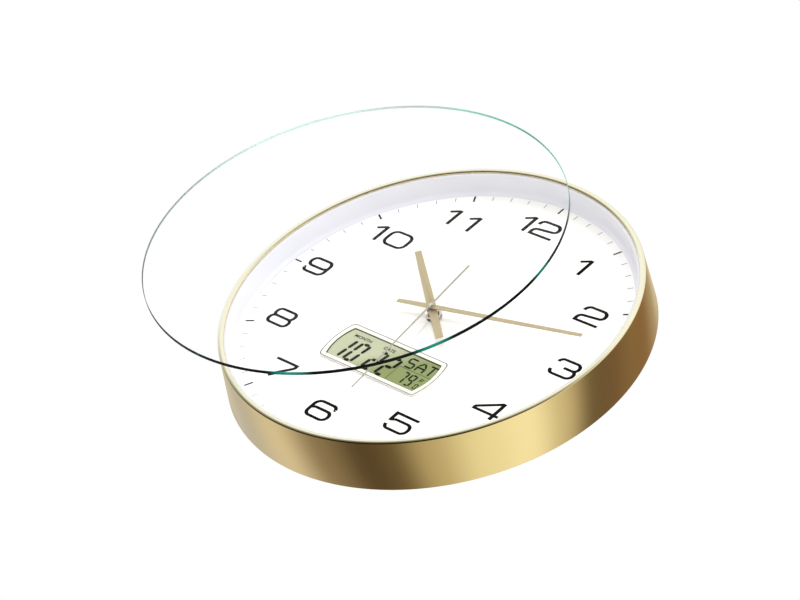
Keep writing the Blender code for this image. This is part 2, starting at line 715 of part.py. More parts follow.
def nail_pocket():
    """Opening in the cover through which the nail's head reaches the plate."""
    width = 2 * (NAIL_HOLE_RADIUS + POCKET_MARGIN)
    top, low = NAIL_SLOT_RADIUS + POCKET_MARGIN, NAIL_DROP + NAIL_HOLE_RADIUS + POCKET_MARGIN
    middle = HANG_HEIGHT + (top - low) / 2
    return rounded_rectangle(width, top + low, OPENING_ROUND, (0, middle))


def keyhole():
    """Slot whose top holds the nail, over the round hole that lets its head in."""
    top = [polar(NAIL_SLOT_RADIUS, turn, (0, HANG_HEIGHT)) for turn in range(-90, 91, 30)]
    half = math.degrees(math.asin(NAIL_SLOT_RADIUS / NAIL_HOLE_RADIUS))
    steps = BOSS_STEPS + 2
    hole = (0, HANG_HEIGHT - NAIL_DROP)
    turns = [half + (360 - 2 * half) * step / steps for step in range(steps + 1)]
    return top + [polar(NAIL_HOLE_RADIUS, turn, hole) for turn in turns]


def make_hanger():
    back = PANEL_FRONT_Y - GAP
    front = back - HANGER_THICKNESS
    height = HANGER_ABOVE + HANGER_BELOW
    middle = HANG_HEIGHT + (HANGER_ABOVE - HANGER_BELOW) / 2
    holes = [keyhole()] + [circle(HOLE_RADIUS, BOSS_STEPS, hanger_screw_place(side)) for side in (-1, 1)]
    outline = rounded_rectangle(HANGER_WIDTH, height, HANGER_ROUND, (0, middle))
    hanger = plate("hanger_plate", outline, front, back, holes)
    place(finish(hanger, "zinc_steel"))
    for side, word in ((-1, "left"), (1, "right")):
        screw = make_screw(f"hanger_screw_{word}", front - GAP, PANEL_BACK_Y - GAP)
        place(screw, hanger_screw_place(side))


# Calendar module


def framed(name, section):
    """Frame that carries a section of (inset, y) points round the outline of the calendar window."""
    bm = bmesh.new()
    rings = [[bm.verts.new((x, y, z)) for x, z in bezel_outline(inset)] for inset, y in section]
    for ring, following in zip(rings, rings[1:] + rings[:1]):
        for index in range(len(ring)):
            bm.faces.new((ring[index - 1], ring[index], following[index], following[index - 1]))
    return mesh_object(name, bm)


def make_bezel():
    """Flange on the dial, neck through its window, and a thin lip over the panel that lies in the neck."""
    inside = BEZEL_FLANGE + NECK_WALL
    lip_back = BEZEL_Y + BEZEL_LIP
    bezel = framed("lcd_bezel", [
        (0, BEZEL_Y), (BEZEL_BORDER, BEZEL_Y), (BEZEL_BORDER, lip_back), (inside, lip_back),
        (inside, NECK_BACK_Y), (BEZEL_FLANGE, NECK_BACK_Y), (BEZEL_FLANGE, DIAL_Y - GAP), (0, DIAL_Y - GAP),
    ])
    return place(finish(bezel, "white_plastic"))


def make_display():
    """Glass panel that fills the bezel's neck, and the rubber strip that joins its low edge to the board."""
    inset = BEZEL_FLANGE + NECK_WALL + GAP
    panel = plate("lcd_panel", bezel_outline(inset), LCD_Y, LCD_Y + LCD_PANEL_THICKNESS)
    place(finish(panel, "lcd_glass", smooth=False))
    length = BEZEL_WIDTH - 2 * (inset + BEZEL_BULGE + ZEBRA_WIDTH)
    low = -LCD_DROP - BEZEL_HEIGHT / 2 + inset + ZEBRA_WIDTH / 2
    strip = rounded_rectangle(length, ZEBRA_WIDTH, ZEBRA_WIDTH / 8, (0, low), 1)
    zebra = plate("zebra_strip", strip, ZEBRA_Y, ZEBRA_Y + ZEBRA_THICKNESS)
    place(finish(zebra, "rubber", smooth=False))


def housing_inside():
    return HOUSING_WIDTH - 2 * HOUSING_WALL, HOUSING_HEIGHT - 2 * HOUSING_WALL


def make_board():
    width, height = housing_inside()
    outline = rounded_rectangle(width - 2 * GAP, height - 2 * GAP, HOUSING_ROUND / 2, (0, -LCD_DROP), 2)
    board = plate("lcd_board", outline, BOARD_Y, BOARD_BACK_Y)
    return place(finish(board, "board_green", smooth=False))


def make_switches():
    """Tact switches on the board's back, one under each push button."""
    for word, x in BUTTON_PLACES.items():
        front = BOARD_BACK_Y + GAP
        back = front + SWITCH_HEIGHT
        body = rounded_rectangle(SWITCH_SIZE, SWITCH_SIZE, SWITCH_SIZE / 12, (0, 0), 1)
        switch = plate(f"tact_switch_{word}", body, front, back)
        plunger = rod(f"plunger_{word}", PLUNGER_RADIUS, back - OVERRUN, PLUNGER_BACK_Y, BOSS_STEPS)
        place(finish(fuse(switch, plunger), "grey_plastic"), (x, -LCD_DROP))


def make_buttons():
    """Caps that reach back through the housing floor, kept in by a collar inside it."""
    for word, x in BUTTON_PLACES.items():
        front = COLLAR_Y
        back = -BUTTON_RECESS
        profile = [
            (0, front),
            (BUTTON_RADIUS + BUTTON_COLLAR, front),
            (BUTTON_RADIUS + BUTTON_COLLAR, front + COLLAR_THICKNESS),
            (BUTTON_RADIUS, front + COLLAR_THICKNESS),
            (BUTTON_RADIUS, back - BUTTON_CHAMFER),
            (BUTTON_RADIUS - BUTTON_CHAMFER, back),
            (0, back),
        ]
        button = turned(f"button_{word}", profile, TUBE_STEPS, closed=False)
        place(finish(button, "grey_plastic"), (x, -LCD_DROP))


def make_coin_cell():
    front = BOARD_BACK_Y + GAP
    back = front + CELL_THICKNESS
    profile = [
        (0, front),
        (CELL_RADIUS - CELL_EDGE, front),
        (CELL_RADIUS, front + CELL_EDGE),
        (CELL_RADIUS, back),
        (0, back),
    ]
    place(finish(turned("coin_cell", profile, TUBE_STEPS, closed=False), "zinc_steel"), (CELL_PLACE, -LCD_DROP))
    foot = CELL_RADIUS + GAP
    outside = foot + CLIP_THICKNESS + CLIP_WIDTH / 2
    over = back + GAP
    bridge = [
        (-outside, front), (-foot, front), (-foot, over), (foot, over), (foot, front), (outside, front),
        (outside, front + CLIP_THICKNESS), (foot + CLIP_THICKNESS, front + CLIP_THICKNESS),
        (foot + CLIP_THICKNESS, over + CLIP_THICKNESS), (-foot - CLIP_THICKNESS, over + CLIP_THICKNESS),
        (-foot - CLIP_THICKNESS, front + CLIP_THICKNESS), (-outside, front + CLIP_THICKNESS),
    ]
    clip = plate("cell_clip", bridge, -CLIP_WIDTH / 2, CLIP_WIDTH / 2)
    clip.data.transform(Matrix.Rotation(math.radians(90), 4, "X") @ Matrix.Scale(-1, 4, (0, 0, 1)))
    clip.data.flip_normals()
    place(finish(clip, "zinc_steel", smooth=False), (CELL_PLACE, -LCD_DROP))


def make_housing():
    width, height = housing_inside()
    middle = (0, -LCD_DROP)
    outline = rounded_rectangle(HOUSING_WIDTH, HOUSING_HEIGHT, HOUSING_ROUND, middle)
    housing = plate("lcd_housing", outline, HOUSING_Y, FLOOR_BACK_Y)
    ear_front = DIAL_BACK_Y + DIAL_BOSS_HEIGHT + GAP
    for side, word in ((-1, "left"), (1, "right")):
        x, z = housing_screw_place(side)
        outer = x + side * EAR_RADIUS
        root = side * (HOUSING_WIDTH / 2 - HOUSING_WALL / 2)
        corners = [((root, z - EAR_RADIUS), 0), ((outer, z - EAR_RADIUS), EAR_RADIUS / 2),
                   ((outer, z + EAR_RADIUS), EAR_RADIUS / 2), ((root, z + EAR_RADIUS), 0)]
        ear = plate(f"ear_{word}", filleted(corners), ear_front, ear_front + EAR_THICKNESS)
        fuse(housing, ear)
        hole = rod(f"ear_hole_{word}", HOLE_RADIUS, ear_front - OVERRUN, ear_front + EAR_THICKNESS + OVERRUN,
                   BOSS_STEPS, (x, z))
        cut(housing, hole)
        screw = make_screw(f"housing_screw_{word}", ear_front + EAR_THICKNESS + GAP, DIAL_BACK_Y + 2 * GAP)
        place(screw, (x, z))
    room = rounded_rectangle(width, height, HOUSING_ROUND - HOUSING_WALL, middle)
    cut(housing, plate("housing_room", room, HOUSING_Y - OVERRUN, FLOOR_Y))
    for word, x in BUTTON_PLACES.items():
        hole = rod(f"button_hole_{word}", BUTTON_RADIUS + GAP, FLOOR_Y - OVERRUN, FLOOR_BACK_Y + OVERRUN,
                   TUBE_STEPS, (x, -LCD_DROP))
        cut(housing, hole)
    return place(finish(housing, "black_plastic"))


# Quartz movement


def bay_ceiling():
    """Height of the wall between the battery and the wheels, at the battery's side of it."""
    return battery_drop() + BATTERY_RADIUS + GAP


def battery_drop():
    return -MOVEMENT_SIZE / 2 + CASE_WALL + GAP + BATTERY_RADIUS


def box(name, x, z, front, back):
    """Plain block between two x values and two z values."""
    return plate(name, [(x[0], z[0]), (x[1], z[0]), (x[1], z[1]), (x[0], z[1])], front, back)


def make_movement_case():
    half = MOVEMENT_SIZE / 2
    inside = half - CASE_WALL
    outline = rounded_rectangle(MOVEMENT_SIZE, MOVEMENT_SIZE, MOVEMENT_ROUND)
    case = plate("movement_case", outline, CASE_FRONT_Y, CHAMBER_BACK_Y - GAP)
    wall_top = bay_ceiling() + CASE_WALL
    corners = [((-half, -half), MOVEMENT_ROUND), ((half, -half), MOVEMENT_ROUND),
               ((half, wall_top), 0), ((-half, wall_top), 0)]
    bay = plate("bay_walls", filleted(corners), CHAMBER_FRONT_Y, BAY_BACK_Y)
    fuse(case, bay)
    chamber = box("wheel_chamber", (-inside, inside), (wall_top, inside), CHAMBER_FRONT_Y, BAY_BACK_Y + OVERRUN)
    room = box("battery_room", (-inside, inside), (-inside, bay_ceiling()), CHAMBER_FRONT_Y, BAY_BACK_Y + OVERRUN)
    cut(case, chamber, room)
    nipple = rod("nipple", NIPPLE_RADIUS, DIAL_Y - NIPPLE_HEIGHT, CASE_FRONT_Y + CASE_WALL / 2, TUBE_STEPS)
    fuse(case, nipple)
    for word, spot in circuit_posts().items():
        post = rod(f"circuit_post_{word}", POST_RADIUS, CHAMBER_FRONT_Y - CASE_WALL / 2, CIRCUIT_Y - GAP,
                   SHAFT_STEPS, spot)
        fuse(case, post)
    bore = rod("nipple_bore", HOUR_PIPE_RADIUS + GAP, DIAL_Y - NIPPLE_HEIGHT - OVERRUN, CHAMBER_FRONT_Y + OVERRUN,
               TUBE_STEPS)
    cut(case, bore)
    return place(finish(case, "black_plastic"))


def circuit_place():
    inside = MOVEMENT_SIZE / 2 - CASE_WALL
    return -inside + GAP + CIRCUIT_WIDTH / 2, 0


def circuit_posts():
    x, z = circuit_place()
    left = x - CIRCUIT_WIDTH / 2 + POST_RADIUS
    high = CIRCUIT_HEIGHT / 2 - POST_RADIUS
    return {"low": (left, z - high), "high": (left, z + high)}


def make_movement_cover():
    inside = MOVEMENT_SIZE / 2 - GAP
    low = bay_ceiling() + CASE_WALL + GAP
    corners = [((-inside, low), 0), ((inside, low), 0),
               ((inside, inside), MOVEMENT_ROUND), ((-inside, inside), MOVEMENT_ROUND)]
    knob_hole = circle(MOTION_SHAFT_RADIUS + GAP, BOSS_STEPS, polar(MOTION_DISTANCE, MOTION_DIRECTION))
    cover = plate("movement_cover", filleted(corners), CHAMBER_BACK_Y, COVER_BACK_Y, [knob_hole])
    return place(finish(cover, "black_plastic"))


def make_fasteners():
    back = DIAL_BACK_Y + GAP
    inner = NIPPLE_RADIUS + GAP
    rubber = tube("rubber_washer", RUBBER_RADIUS, inner, back, back + RUBBER_THICKNESS)
    place(finish(rubber, "rubber"))
    face = DIAL_Y - GAP
    washer = tube("movement_washer", WASHER_RADIUS, inner, face - WASHER_THICKNESS, face)
    place(finish(washer, "zinc_steel"))
    nut_back = face - WASHER_THICKNESS - GAP
    nut_front = nut_back - NUT_THICKNESS
    corner = NUT_FLATS / 2 / math.cos(math.radians(30))
    nut = plate("movement_nut", circle(corner, 6), nut_front, nut_back)
    cone = turned("nut_crown", [
        (0, nut_front - OVERRUN),
        (NUT_FLATS / 2 - OVERRUN, nut_front - OVERRUN),
        (corner + NUT_CHAMFER, nut_front + NUT_CHAMFER * 2),
        (corner + NUT_CHAMFER, nut_back + OVERRUN),
        (0, nut_back + OVERRUN),
    ], TUBE_STEPS + 4, closed=False)
    combine(nut, cone, "INTERSECT")
    cut(nut, rod("nut_bore", inner, nut_front - OVERRUN, nut_back + OVERRUN, TUBE_STEPS))
    place(finish(nut, "chrome"))


def make_battery():
    """Dry cell lying across the bay, its plus end to the right as seen from the front."""
    total = BATTERY_LENGTH + BATTERY_NUB_LENGTH
    start = -total / 2
    end = start + BATTERY_LENGTH
    profile = [
        (0, start),
        (BATTERY_RADIUS - BATTERY_EDGE, start),
        (BATTERY_RADIUS, start + BATTERY_EDGE),
        (BATTERY_RADIUS, end - BATTERY_EDGE),
        (BATTERY_RADIUS - BATTERY_EDGE, end),
        (BATTERY_NUB_RADIUS, end),
        (BATTERY_NUB_RADIUS, total / 2),
        (0, total / 2),
    ]
    battery = turned("battery", profile, TUBE_STEPS + 4, closed=False)
    battery.data.transform(Matrix.Rotation(math.radians(-90), 4, "Z"))
    place(finish(battery, "battery_sleeve"), (0, battery_drop()))
    battery.location.y = BATTERY_Y


def make_contacts():
    inside = MOVEMENT_SIZE / 2 - CASE_WALL
    high, low = battery_drop() + CONTACT_WIDTH / 2, battery_drop() - CONTACT_WIDTH / 2
    front, back = BATTERY_Y - CONTACT_WIDTH / 2, BAY_BACK_Y - GAP
    wall = inside - GAP
    plus = box("contact_positive", (wall - CONTACT_THICKNESS, wall), (low, high), front, back)
    place(finish(plus, "zinc_steel", smooth=False))
    minus = box("contact_negative", (-wall, -wall + CONTACT_THICKNESS), (low, high), front, back)
    spring_end = -(BATTERY_LENGTH + BATTERY_NUB_LENGTH) / 2 - GAP
    spring = turned("contact_spring", [
        (0, -wall + CONTACT_THICKNESS / 2),
        (CONTACT_SPRING_RADIUS, -wall + CONTACT_THICKNESS / 2),
        (CONTACT_SPRING_RADIUS / 2, spring_end),
        (0, spring_end),
    ], BOSS_STEPS, closed=False)
    spring.data.transform(Matrix.Rotation(math.radians(-90), 4, "Z"))
    spring.location = (0, BATTERY_Y, battery_drop())
    place(finish(fuse(minus, spring), "zinc_steel", smooth=False))


# Wheel train


def level(index):
    """Front plane of one of the wheel levels behind the movement's front wall."""
    return CHAMBER_FRONT_Y + GAP + index * LEVEL_PITCH


def wheel(name, teeth, module, index, bore=0.0):
    front = level(index)
    holes = [circle(bore, TUBE_STEPS)] if bore else []
    return plate(name, gear_outline(teeth, module), front, front + WHEEL_THICKNESS, holes)


def pinion(name, teeth, module, front, back, bore=0.0):
    holes = [circle(bore, TUBE_STEPS)] if bore else []
    return plate(name, gear_outline(teeth, module), front, back, holes)


ARBOR_FRONT = CHAMBER_FRONT_Y + GAP
ARBOR_BACK = CHAMBER_BACK_Y - GAP
THIRD_PLACE = polar(CENTRE_DISTANCE, THIRD_DIRECTION)
MOTION_PLACE = polar(MOTION_DISTANCE, MOTION_DIRECTION)
INTERMEDIATE_PLACE = polar(SECOND_DISTANCE, INTERMEDIATE_DIRECTION)
ROTOR_PLACE = polar(ROTOR_DISTANCE, ROTOR_DIRECTION, INTERMEDIATE_PLACE)

# Turn of each wheel at rest, worked along the train from the rotor and from the minute pinion
INTERMEDIATE_TURN = meshed_turn(0, ROTOR_TEETH, ROTOR_DIRECTION + 180, INTERMEDIATE_TEETH)
SECOND_WHEEL_TURN = meshed_turn(
    INTERMEDIATE_TURN, INTERMEDIATE_PINION_TEETH, INTERMEDIATE_DIRECTION + 180, SECOND_TEETH
)
THIRD_TURN = meshed_turn(SECOND_WHEEL_TURN, SECOND_PINION_TEETH, THIRD_DIRECTION, THIRD_TEETH)
CENTRE_TURN = meshed_turn(THIRD_TURN, THIRD_PINION_TEETH, THIRD_DIRECTION + 180, CENTRE_TEETH)
MOTION_TURN = meshed_turn(0, MINUTE_PINION_TEETH, MOTION_DIRECTION, MOTION_TEETH)
HOUR_WHEEL_TURN = meshed_turn(MOTION_TURN, MOTION_PINION_TEETH, MOTION_DIRECTION + 180, HOUR_TEETH)


def make_rotor():
    magnet_front = STATOR_Y + STATOR_THICKNESS / 2 - MAGNET_THICKNESS / 2
    rotor = rod("rotor", MAGNET_RADIUS, magnet_front, magnet_front + MAGNET_THICKNESS, TUBE_STEPS)
    teeth = pinion("rotor_pinion", ROTOR_TEETH, ROTOR_MODULE, level(5), magnet_front + OVERRUN)
    arbor = rod("rotor_arbor", ROTOR_ARBOR_RADIUS, ARBOR_FRONT, ARBOR_BACK)
    place(finish(fuse(rotor, teeth, arbor), "magnet"), ROTOR_PLACE)


def make_intermediate():
    gear = wheel("intermediate_wheel", INTERMEDIATE_TEETH, ROTOR_MODULE, 5)
    teeth = pinion("intermediate_pinion", INTERMEDIATE_PINION_TEETH, SECOND_MODULE, level(4),
                   level(5) + WHEEL_THICKNESS / 2)
    arbor = rod("intermediate_arbor", ARBOR_RADIUS, ARBOR_FRONT, ARBOR_BACK)
    place(finish(fuse(gear, teeth, arbor), "gear_plastic"), INTERMEDIATE_PLACE, INTERMEDIATE_TURN)


def make_second_wheel():
    gear = wheel("second_wheel", SECOND_TEETH, SECOND_MODULE, 4)
    teeth = pinion("second_pinion", SECOND_PINION_TEETH, THIRD_MODULE, level(3), level(4) + WHEEL_THICKNESS / 2)
    shaft = rod("second_shaft", SECOND_SHAFT_RADIUS, SECOND_COLLET_Y, ARBOR_BACK)
    place(finish(fuse(gear, teeth, shaft), "gear_plastic"), turn=SECOND_WHEEL_TURN)


def make_third_wheel():
    gear = wheel("third_wheel", THIRD_TEETH, THIRD_MODULE, 3)
    teeth = pinion("third_pinion", THIRD_PINION_TEETH, CENTRE_MODULE, level(2), level(3) + WHEEL_THICKNESS / 2)
    arbor = rod("third_arbor", ARBOR_RADIUS, ARBOR_FRONT, ARBOR_BACK)
    place(finish(fuse(gear, teeth, arbor), "gear_plastic"), THIRD_PLACE, THIRD_TURN)


def make_centre_wheel():
    gear = wheel("centre_wheel", CENTRE_TEETH, CENTRE_MODULE, 2, MINUTE_PIPE_RADIUS + GAP)
    place(finish(gear, "gear_plastic"), turn=CENTRE_TURN)


def make_minute_pipe():
    inner = MINUTE_PIPE_RADIUS - MINUTE_PIPE_WALL
    pipe = tube("minute_pipe", MINUTE_PIPE_RADIUS, inner, MINUTE_COLLET_Y, level(2) + WHEEL_THICKNESS)
    teeth = pinion("minute_pinion", MINUTE_PINION_TEETH, MINUTE_MODULE, level(1), level(1) + WHEEL_THICKNESS,
                   (MINUTE_PIPE_RADIUS + inner) / 2)
    place(finish(fuse(pipe, teeth), "brass"))


def make_motion_wheel():
    gear = wheel("motion_wheel", MOTION_TEETH, MINUTE_MODULE, 1)
    teeth = pinion("motion_pinion", MOTION_PINION_TEETH, HOUR_MODULE, level(0), level(1) + WHEEL_THICKNESS / 2)
    knob_floor = COVER_BACK_Y + GAP + KNOB_THICKNESS - KNOB_FLOOR
    shaft = rod("motion_shaft", MOTION_SHAFT_RADIUS, ARBOR_FRONT, knob_floor - GAP)
    place(finish(fuse(gear, teeth, shaft), "gear_plastic"), MOTION_PLACE, MOTION_TURN)


def make_hour_wheel():
    inner = HOUR_PIPE_RADIUS - HOUR_PIPE_WALL
    gear = wheel("hour_wheel", HOUR_TEETH, HOUR_MODULE, 0, (HOUR_PIPE_RADIUS + inner) / 2)
    pipe = tube("hour_pipe", HOUR_PIPE_RADIUS, inner, HOUR_COLLET_Y, level(0) + WHEEL_THICKNESS)
    place(finish(fuse(gear, pipe), "gear_plastic"), turn=HOUR_WHEEL_TURN)


def make_setting_knob():
    """Fluted knob on the motion wheel's shaft, behind the movement's cover."""
    front = COVER_BACK_Y + GAP
    back = front + KNOB_THICKNESS
    outline = []
    for flute in range(KNOB_FLUTES):
        turn = 360 * flute / KNOB_FLUTES
        outline.append(polar(KNOB_RADIUS, turn))
        outline.append(polar(KNOB_RADIUS - KNOB_FLUTE_DEPTH, turn + 180 / KNOB_FLUTES))
    knob = plate("setting_knob", outline, front, back)
    bore = rod("knob_bore", MOTION_SHAFT_RADIUS + GAP, front - OVERRUN, back - KNOB_FLOOR, BOSS_STEPS)
    place(finish(cut(knob, bore), "grey_plastic"), MOTION_PLACE, MOTION_TURN)


# Motor


def make_stator():
    """Soft iron plate with the rotor's hole between two thin necks, and an arm up to each end of the coil's core."""
    hole = MAGNET_RADIUS + STATOR_HOLE_GAP
    low, high = ROTOR_PLACE[1] - hole - STATOR_NECK, ROTOR_PLACE[1] + hole + STATOR_NECK
    right = ROTOR_PLACE[0] + hole + STATOR_OVERHANG
    left = right - STATOR_LENGTH
    top = coil_height() + CORE_WIDTH / 2
    outline = [(left, low), (right, low), (right, top), (right - STATOR_ARM, top), (right - STATOR_ARM, high),
               (left + STATOR_ARM, high), (left + STATOR_ARM, top), (left, top)]
    stator = plate("stator", outline, STATOR_Y, STATOR_Y + STATOR_THICKNESS,
                   [circle(hole, TUBE_STEPS, ROTOR_PLACE)])
    place(finish(stator, "zinc_steel"))


def coil_height():
    """Height of the coil's axis: the winding just clears the stator's edge below it."""
    hole = MAGNET_RADIUS + STATOR_HOLE_GAP
    return ROTOR_PLACE[1] + hole + STATOR_NECK + COIL_GAP + COIL_FLANGE_RISE + COIL_RADIUS


def make_coil():
    """Winding and its two flanges on the core, whose ends lie on the stator's arms."""
    hole = MAGNET_RADIUS + STATOR_HOLE_GAP
    right = ROTOR_PLACE[0] + hole + STATOR_OVERHANG
    left = right - STATOR_LENGTH
    core_back = STATOR_Y - GAP
    axis = core_back - CORE_THICKNESS / 2
    z = coil_height()
    core = box("coil", (left, right), (z - CORE_WIDTH / 2, z + CORE_WIDTH / 2), core_back - CORE_THICKNESS, core_back)
    start, end = left + STATOR_ARM + GAP, right - STATOR_ARM - GAP
    rim = COIL_RADIUS + COIL_FLANGE_RISE
    winding = turned("winding", [
        (0, start), (rim, start), (rim, start + COIL_FLANGE), (COIL_RADIUS, start + COIL_FLANGE),
        (COIL_RADIUS, end - COIL_FLANGE), (rim, end - COIL_FLANGE), (rim, end), (0, end),
    ], TUBE_STEPS, closed=False)
    winding.data.transform(Matrix.Rotation(math.radians(-90), 4, "Z"))
    winding.location = (0, axis, z)
    place(finish(fuse(core, winding), "copper_wire"))


def make_circuit():
    x, z = circuit_place()
    width, height = CIRCUIT_WIDTH / 2, CIRCUIT_HEIGHT / 2
    board = box("circuit_board", (x - width, x + width), (z - height, z + height), CIRCUIT_Y,
                CIRCUIT_Y + CIRCUIT_THICKNESS)
    chip_front = CIRCUIT_Y - CHIP_HEIGHT
    chip = rod("chip", CHIP_RADIUS, chip_front, CIRCUIT_Y + CIRCUIT_THICKNESS / 2, BOSS_STEPS, (x, z))
    place(finish(fuse(board, chip), "board_green", smooth=False))


# Hands


def hand_outline(reach, tail, tip_width, hub_width, tail_width):
    return [(-tail_width / 2, -tail), (tail_width / 2, -tail), (hub_width / 2, 0),
            (tip_width / 2, reach), (-tip_width / 2, reach), (-hub_width / 2, 0)]


def make_hour_hand():
    outline = hand_outline(HOUR_REACH, HOUR_TAIL, HOUR_TIP_WIDTH, HOUR_HUB_WIDTH, HOUR_TAIL_WIDTH)
    hole = circle(MINUTE_PIPE_RADIUS + GAP, BOSS_STEPS)
    hand = plate("hour_hand", outline, HOUR_HAND_Y, HOUR_HAND_Y + HAND_THICKNESS, [hole])
    place(finish(hand, "hand_gold", smooth=False), turn=HOUR_HAND_DEGREES)
    inner = HOUR_PIPE_RADIUS + GAP
    collet = tube("hour_collet", inner + COLLET_WALL, inner, HOUR_COLLET_Y, HOUR_COLLET_Y + HOUR_COLLET_HEIGHT)
    place(finish(collet, "chrome"))


def make_minute_hand():
    outline = hand_outline(MINUTE_REACH, MINUTE_TAIL, MINUTE_TIP_WIDTH, MINUTE_HUB_WIDTH, MINUTE_TAIL_WIDTH)
    hole = circle(SECOND_SHAFT_RADIUS + GAP, SHAFT_STEPS)
    hand = plate("minute_hand", outline, MINUTE_HAND_Y, MINUTE_HAND_Y + HAND_THICKNESS, [hole])
    place(finish(hand, "hand_gold", smooth=False), turn=MINUTE_HAND_DEGREES)
    inner = MINUTE_PIPE_RADIUS + GAP
    collet = tube("minute_collet", inner + COLLET_WALL, inner, MINUTE_COLLET_Y, MINUTE_COLLET_Y + SMALL_COLLET_HEIGHT)
    place(finish(collet, "chrome"))


def make_second_hand():
    outline = hand_outline(SECOND_REACH, SECOND_TAIL, SECOND_TIP_WIDTH, SECOND_HUB_WIDTH, SECOND_TAIL_WIDTH)
    back = SECOND_HAND_Y + SECOND_HAND_THICKNESS
    hand = plate("second_hand", outline, SECOND_HAND_Y, back)
    hub = rod("second_hub", SECOND_HUB_RADIUS, SECOND_HAND_Y + SECOND_HAND_THICKNESS / 4,
              back - SECOND_HAND_THICKNESS / 4, BOSS_STEPS)
    place(finish(fuse(hand, hub), "hand_gold", smooth=False), turn=SECOND_HAND_DEGREES)
    inner = SECOND_SHAFT_RADIUS + GAP
    collet = tube("second_collet", inner + COLLET_WALL / 2, inner, SECOND_COLLET_Y,
                  SECOND_COLLET_Y + SMALL_COLLET_HEIGHT, BOSS_STEPS)
    place(finish(collet, "chrome"))


def clear_scene():
    for thing in list(bpy.data.objects):
        bpy.data.objects.remove(thing, do_unlink=True)


def main():
    clear_scene()
    make_clock_axis()
    for make in (
        make_rim, make_glass, make_reflector_ring, make_dial, make_back_cover, make_back_screws, make_hanger,
        make_bezel, make_display, make_board, make_switches, make_buttons, make_coin_cell, make_housing,
        make_movement_case, make_movement_cover, make_fasteners, make_battery, make_contacts,
        make_rotor, make_intermediate, make_second_wheel, make_third_wheel, make_centre_wheel, make_minute_pipe,
        make_motion_wheel, make_hour_wheel, make_setting_knob, make_stator, make_coil, make_circuit,
        make_hour_hand, make_minute_hand, make_second_hand,
    ):
        make()


main()
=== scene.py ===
"""Looks of a round wall clock with an analogue dial and a small calendar window, on its packed model's frame.

Metres, +Z up to 12 o'clock, front towards -Y, wall at y = 0. Laid out as a Blender add-on with one operator for each
piece or group of like pieces, and run as a script.
"""

import json
import math

import bpy
from bpy.props import FloatProperty, FloatVectorProperty, IntProperty, PointerProperty
from mathutils import Matrix, Vector

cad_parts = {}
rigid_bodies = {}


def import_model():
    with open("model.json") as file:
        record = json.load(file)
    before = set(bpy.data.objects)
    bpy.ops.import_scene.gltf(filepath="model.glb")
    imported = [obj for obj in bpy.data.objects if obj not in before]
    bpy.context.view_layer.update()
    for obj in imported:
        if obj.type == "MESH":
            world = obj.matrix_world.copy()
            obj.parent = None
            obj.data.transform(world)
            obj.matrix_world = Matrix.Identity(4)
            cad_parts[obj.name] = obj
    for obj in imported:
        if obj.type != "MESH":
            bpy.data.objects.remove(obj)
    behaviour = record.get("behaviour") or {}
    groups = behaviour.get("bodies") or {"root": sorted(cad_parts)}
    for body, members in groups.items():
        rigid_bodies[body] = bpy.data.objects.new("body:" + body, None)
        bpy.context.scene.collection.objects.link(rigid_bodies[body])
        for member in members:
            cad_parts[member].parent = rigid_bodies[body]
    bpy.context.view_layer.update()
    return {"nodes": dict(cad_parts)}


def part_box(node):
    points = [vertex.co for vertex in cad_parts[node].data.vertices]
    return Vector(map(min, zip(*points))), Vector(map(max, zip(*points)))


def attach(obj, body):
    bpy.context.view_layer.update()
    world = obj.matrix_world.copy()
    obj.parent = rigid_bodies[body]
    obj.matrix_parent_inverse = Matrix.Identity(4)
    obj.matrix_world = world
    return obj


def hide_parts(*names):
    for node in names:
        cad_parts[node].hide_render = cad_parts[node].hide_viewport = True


bl_info = {
    "name": "Wall Clock With Calendar Window",
    "version": (1, 0, 0),
    "blender": (4, 5, 0),
    "location": "View3D > Sidebar > Wall Clock",
    "description": "Models and finishes the pieces of a wall clock on its packed frame",
    "category": "Object",
}

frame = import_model()

MM = 0.001
WELD = 0.005 * MM
# Rounding of small moulded and pressed edges
FINE = 0.2 * MM
# Pieces that touch in the real clock stand this far apart
APART = 0.3 * MM
# How far a cutting tool runs past what it cuts
PAST = MM
SCREW_HOLE = 1.4 * MM
HUB_HOLE = 4.0 * MM


def corners_of(node):
    """Lowest and highest corner of a packed node."""
    low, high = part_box(node)
    return Vector(low), Vector(high)


RIM_LOW, RIM_HIGH = corners_of("rim")
DIAL_LOW, DIAL_HIGH = corners_of("dial_plate")
AXIS = Vector(((RIM_LOW.x + RIM_HIGH.x) / 2, 0, (RIM_LOW.z + RIM_HIGH.z) / 2))


def linear(code):
    """Linear red, green and blue of an sRGB hex colour."""
    parts = [int(code[place : place + 2], 16) / 255 for place in (1, 3, 5)]
    return tuple(part / 12.92 if part <= 0.04045 else ((part + 0.055) / 1.055) ** 2.4 for part in parts)


def length(name, description, millimetres):
    return FloatProperty(name=name, description=description, default=millimetres * MM, unit="LENGTH", precision=5)


def colour(name, description, code):
    return FloatVectorProperty(
        name=name, description=description, default=linear(code), subtype="COLOR", min=0, max=1
    )


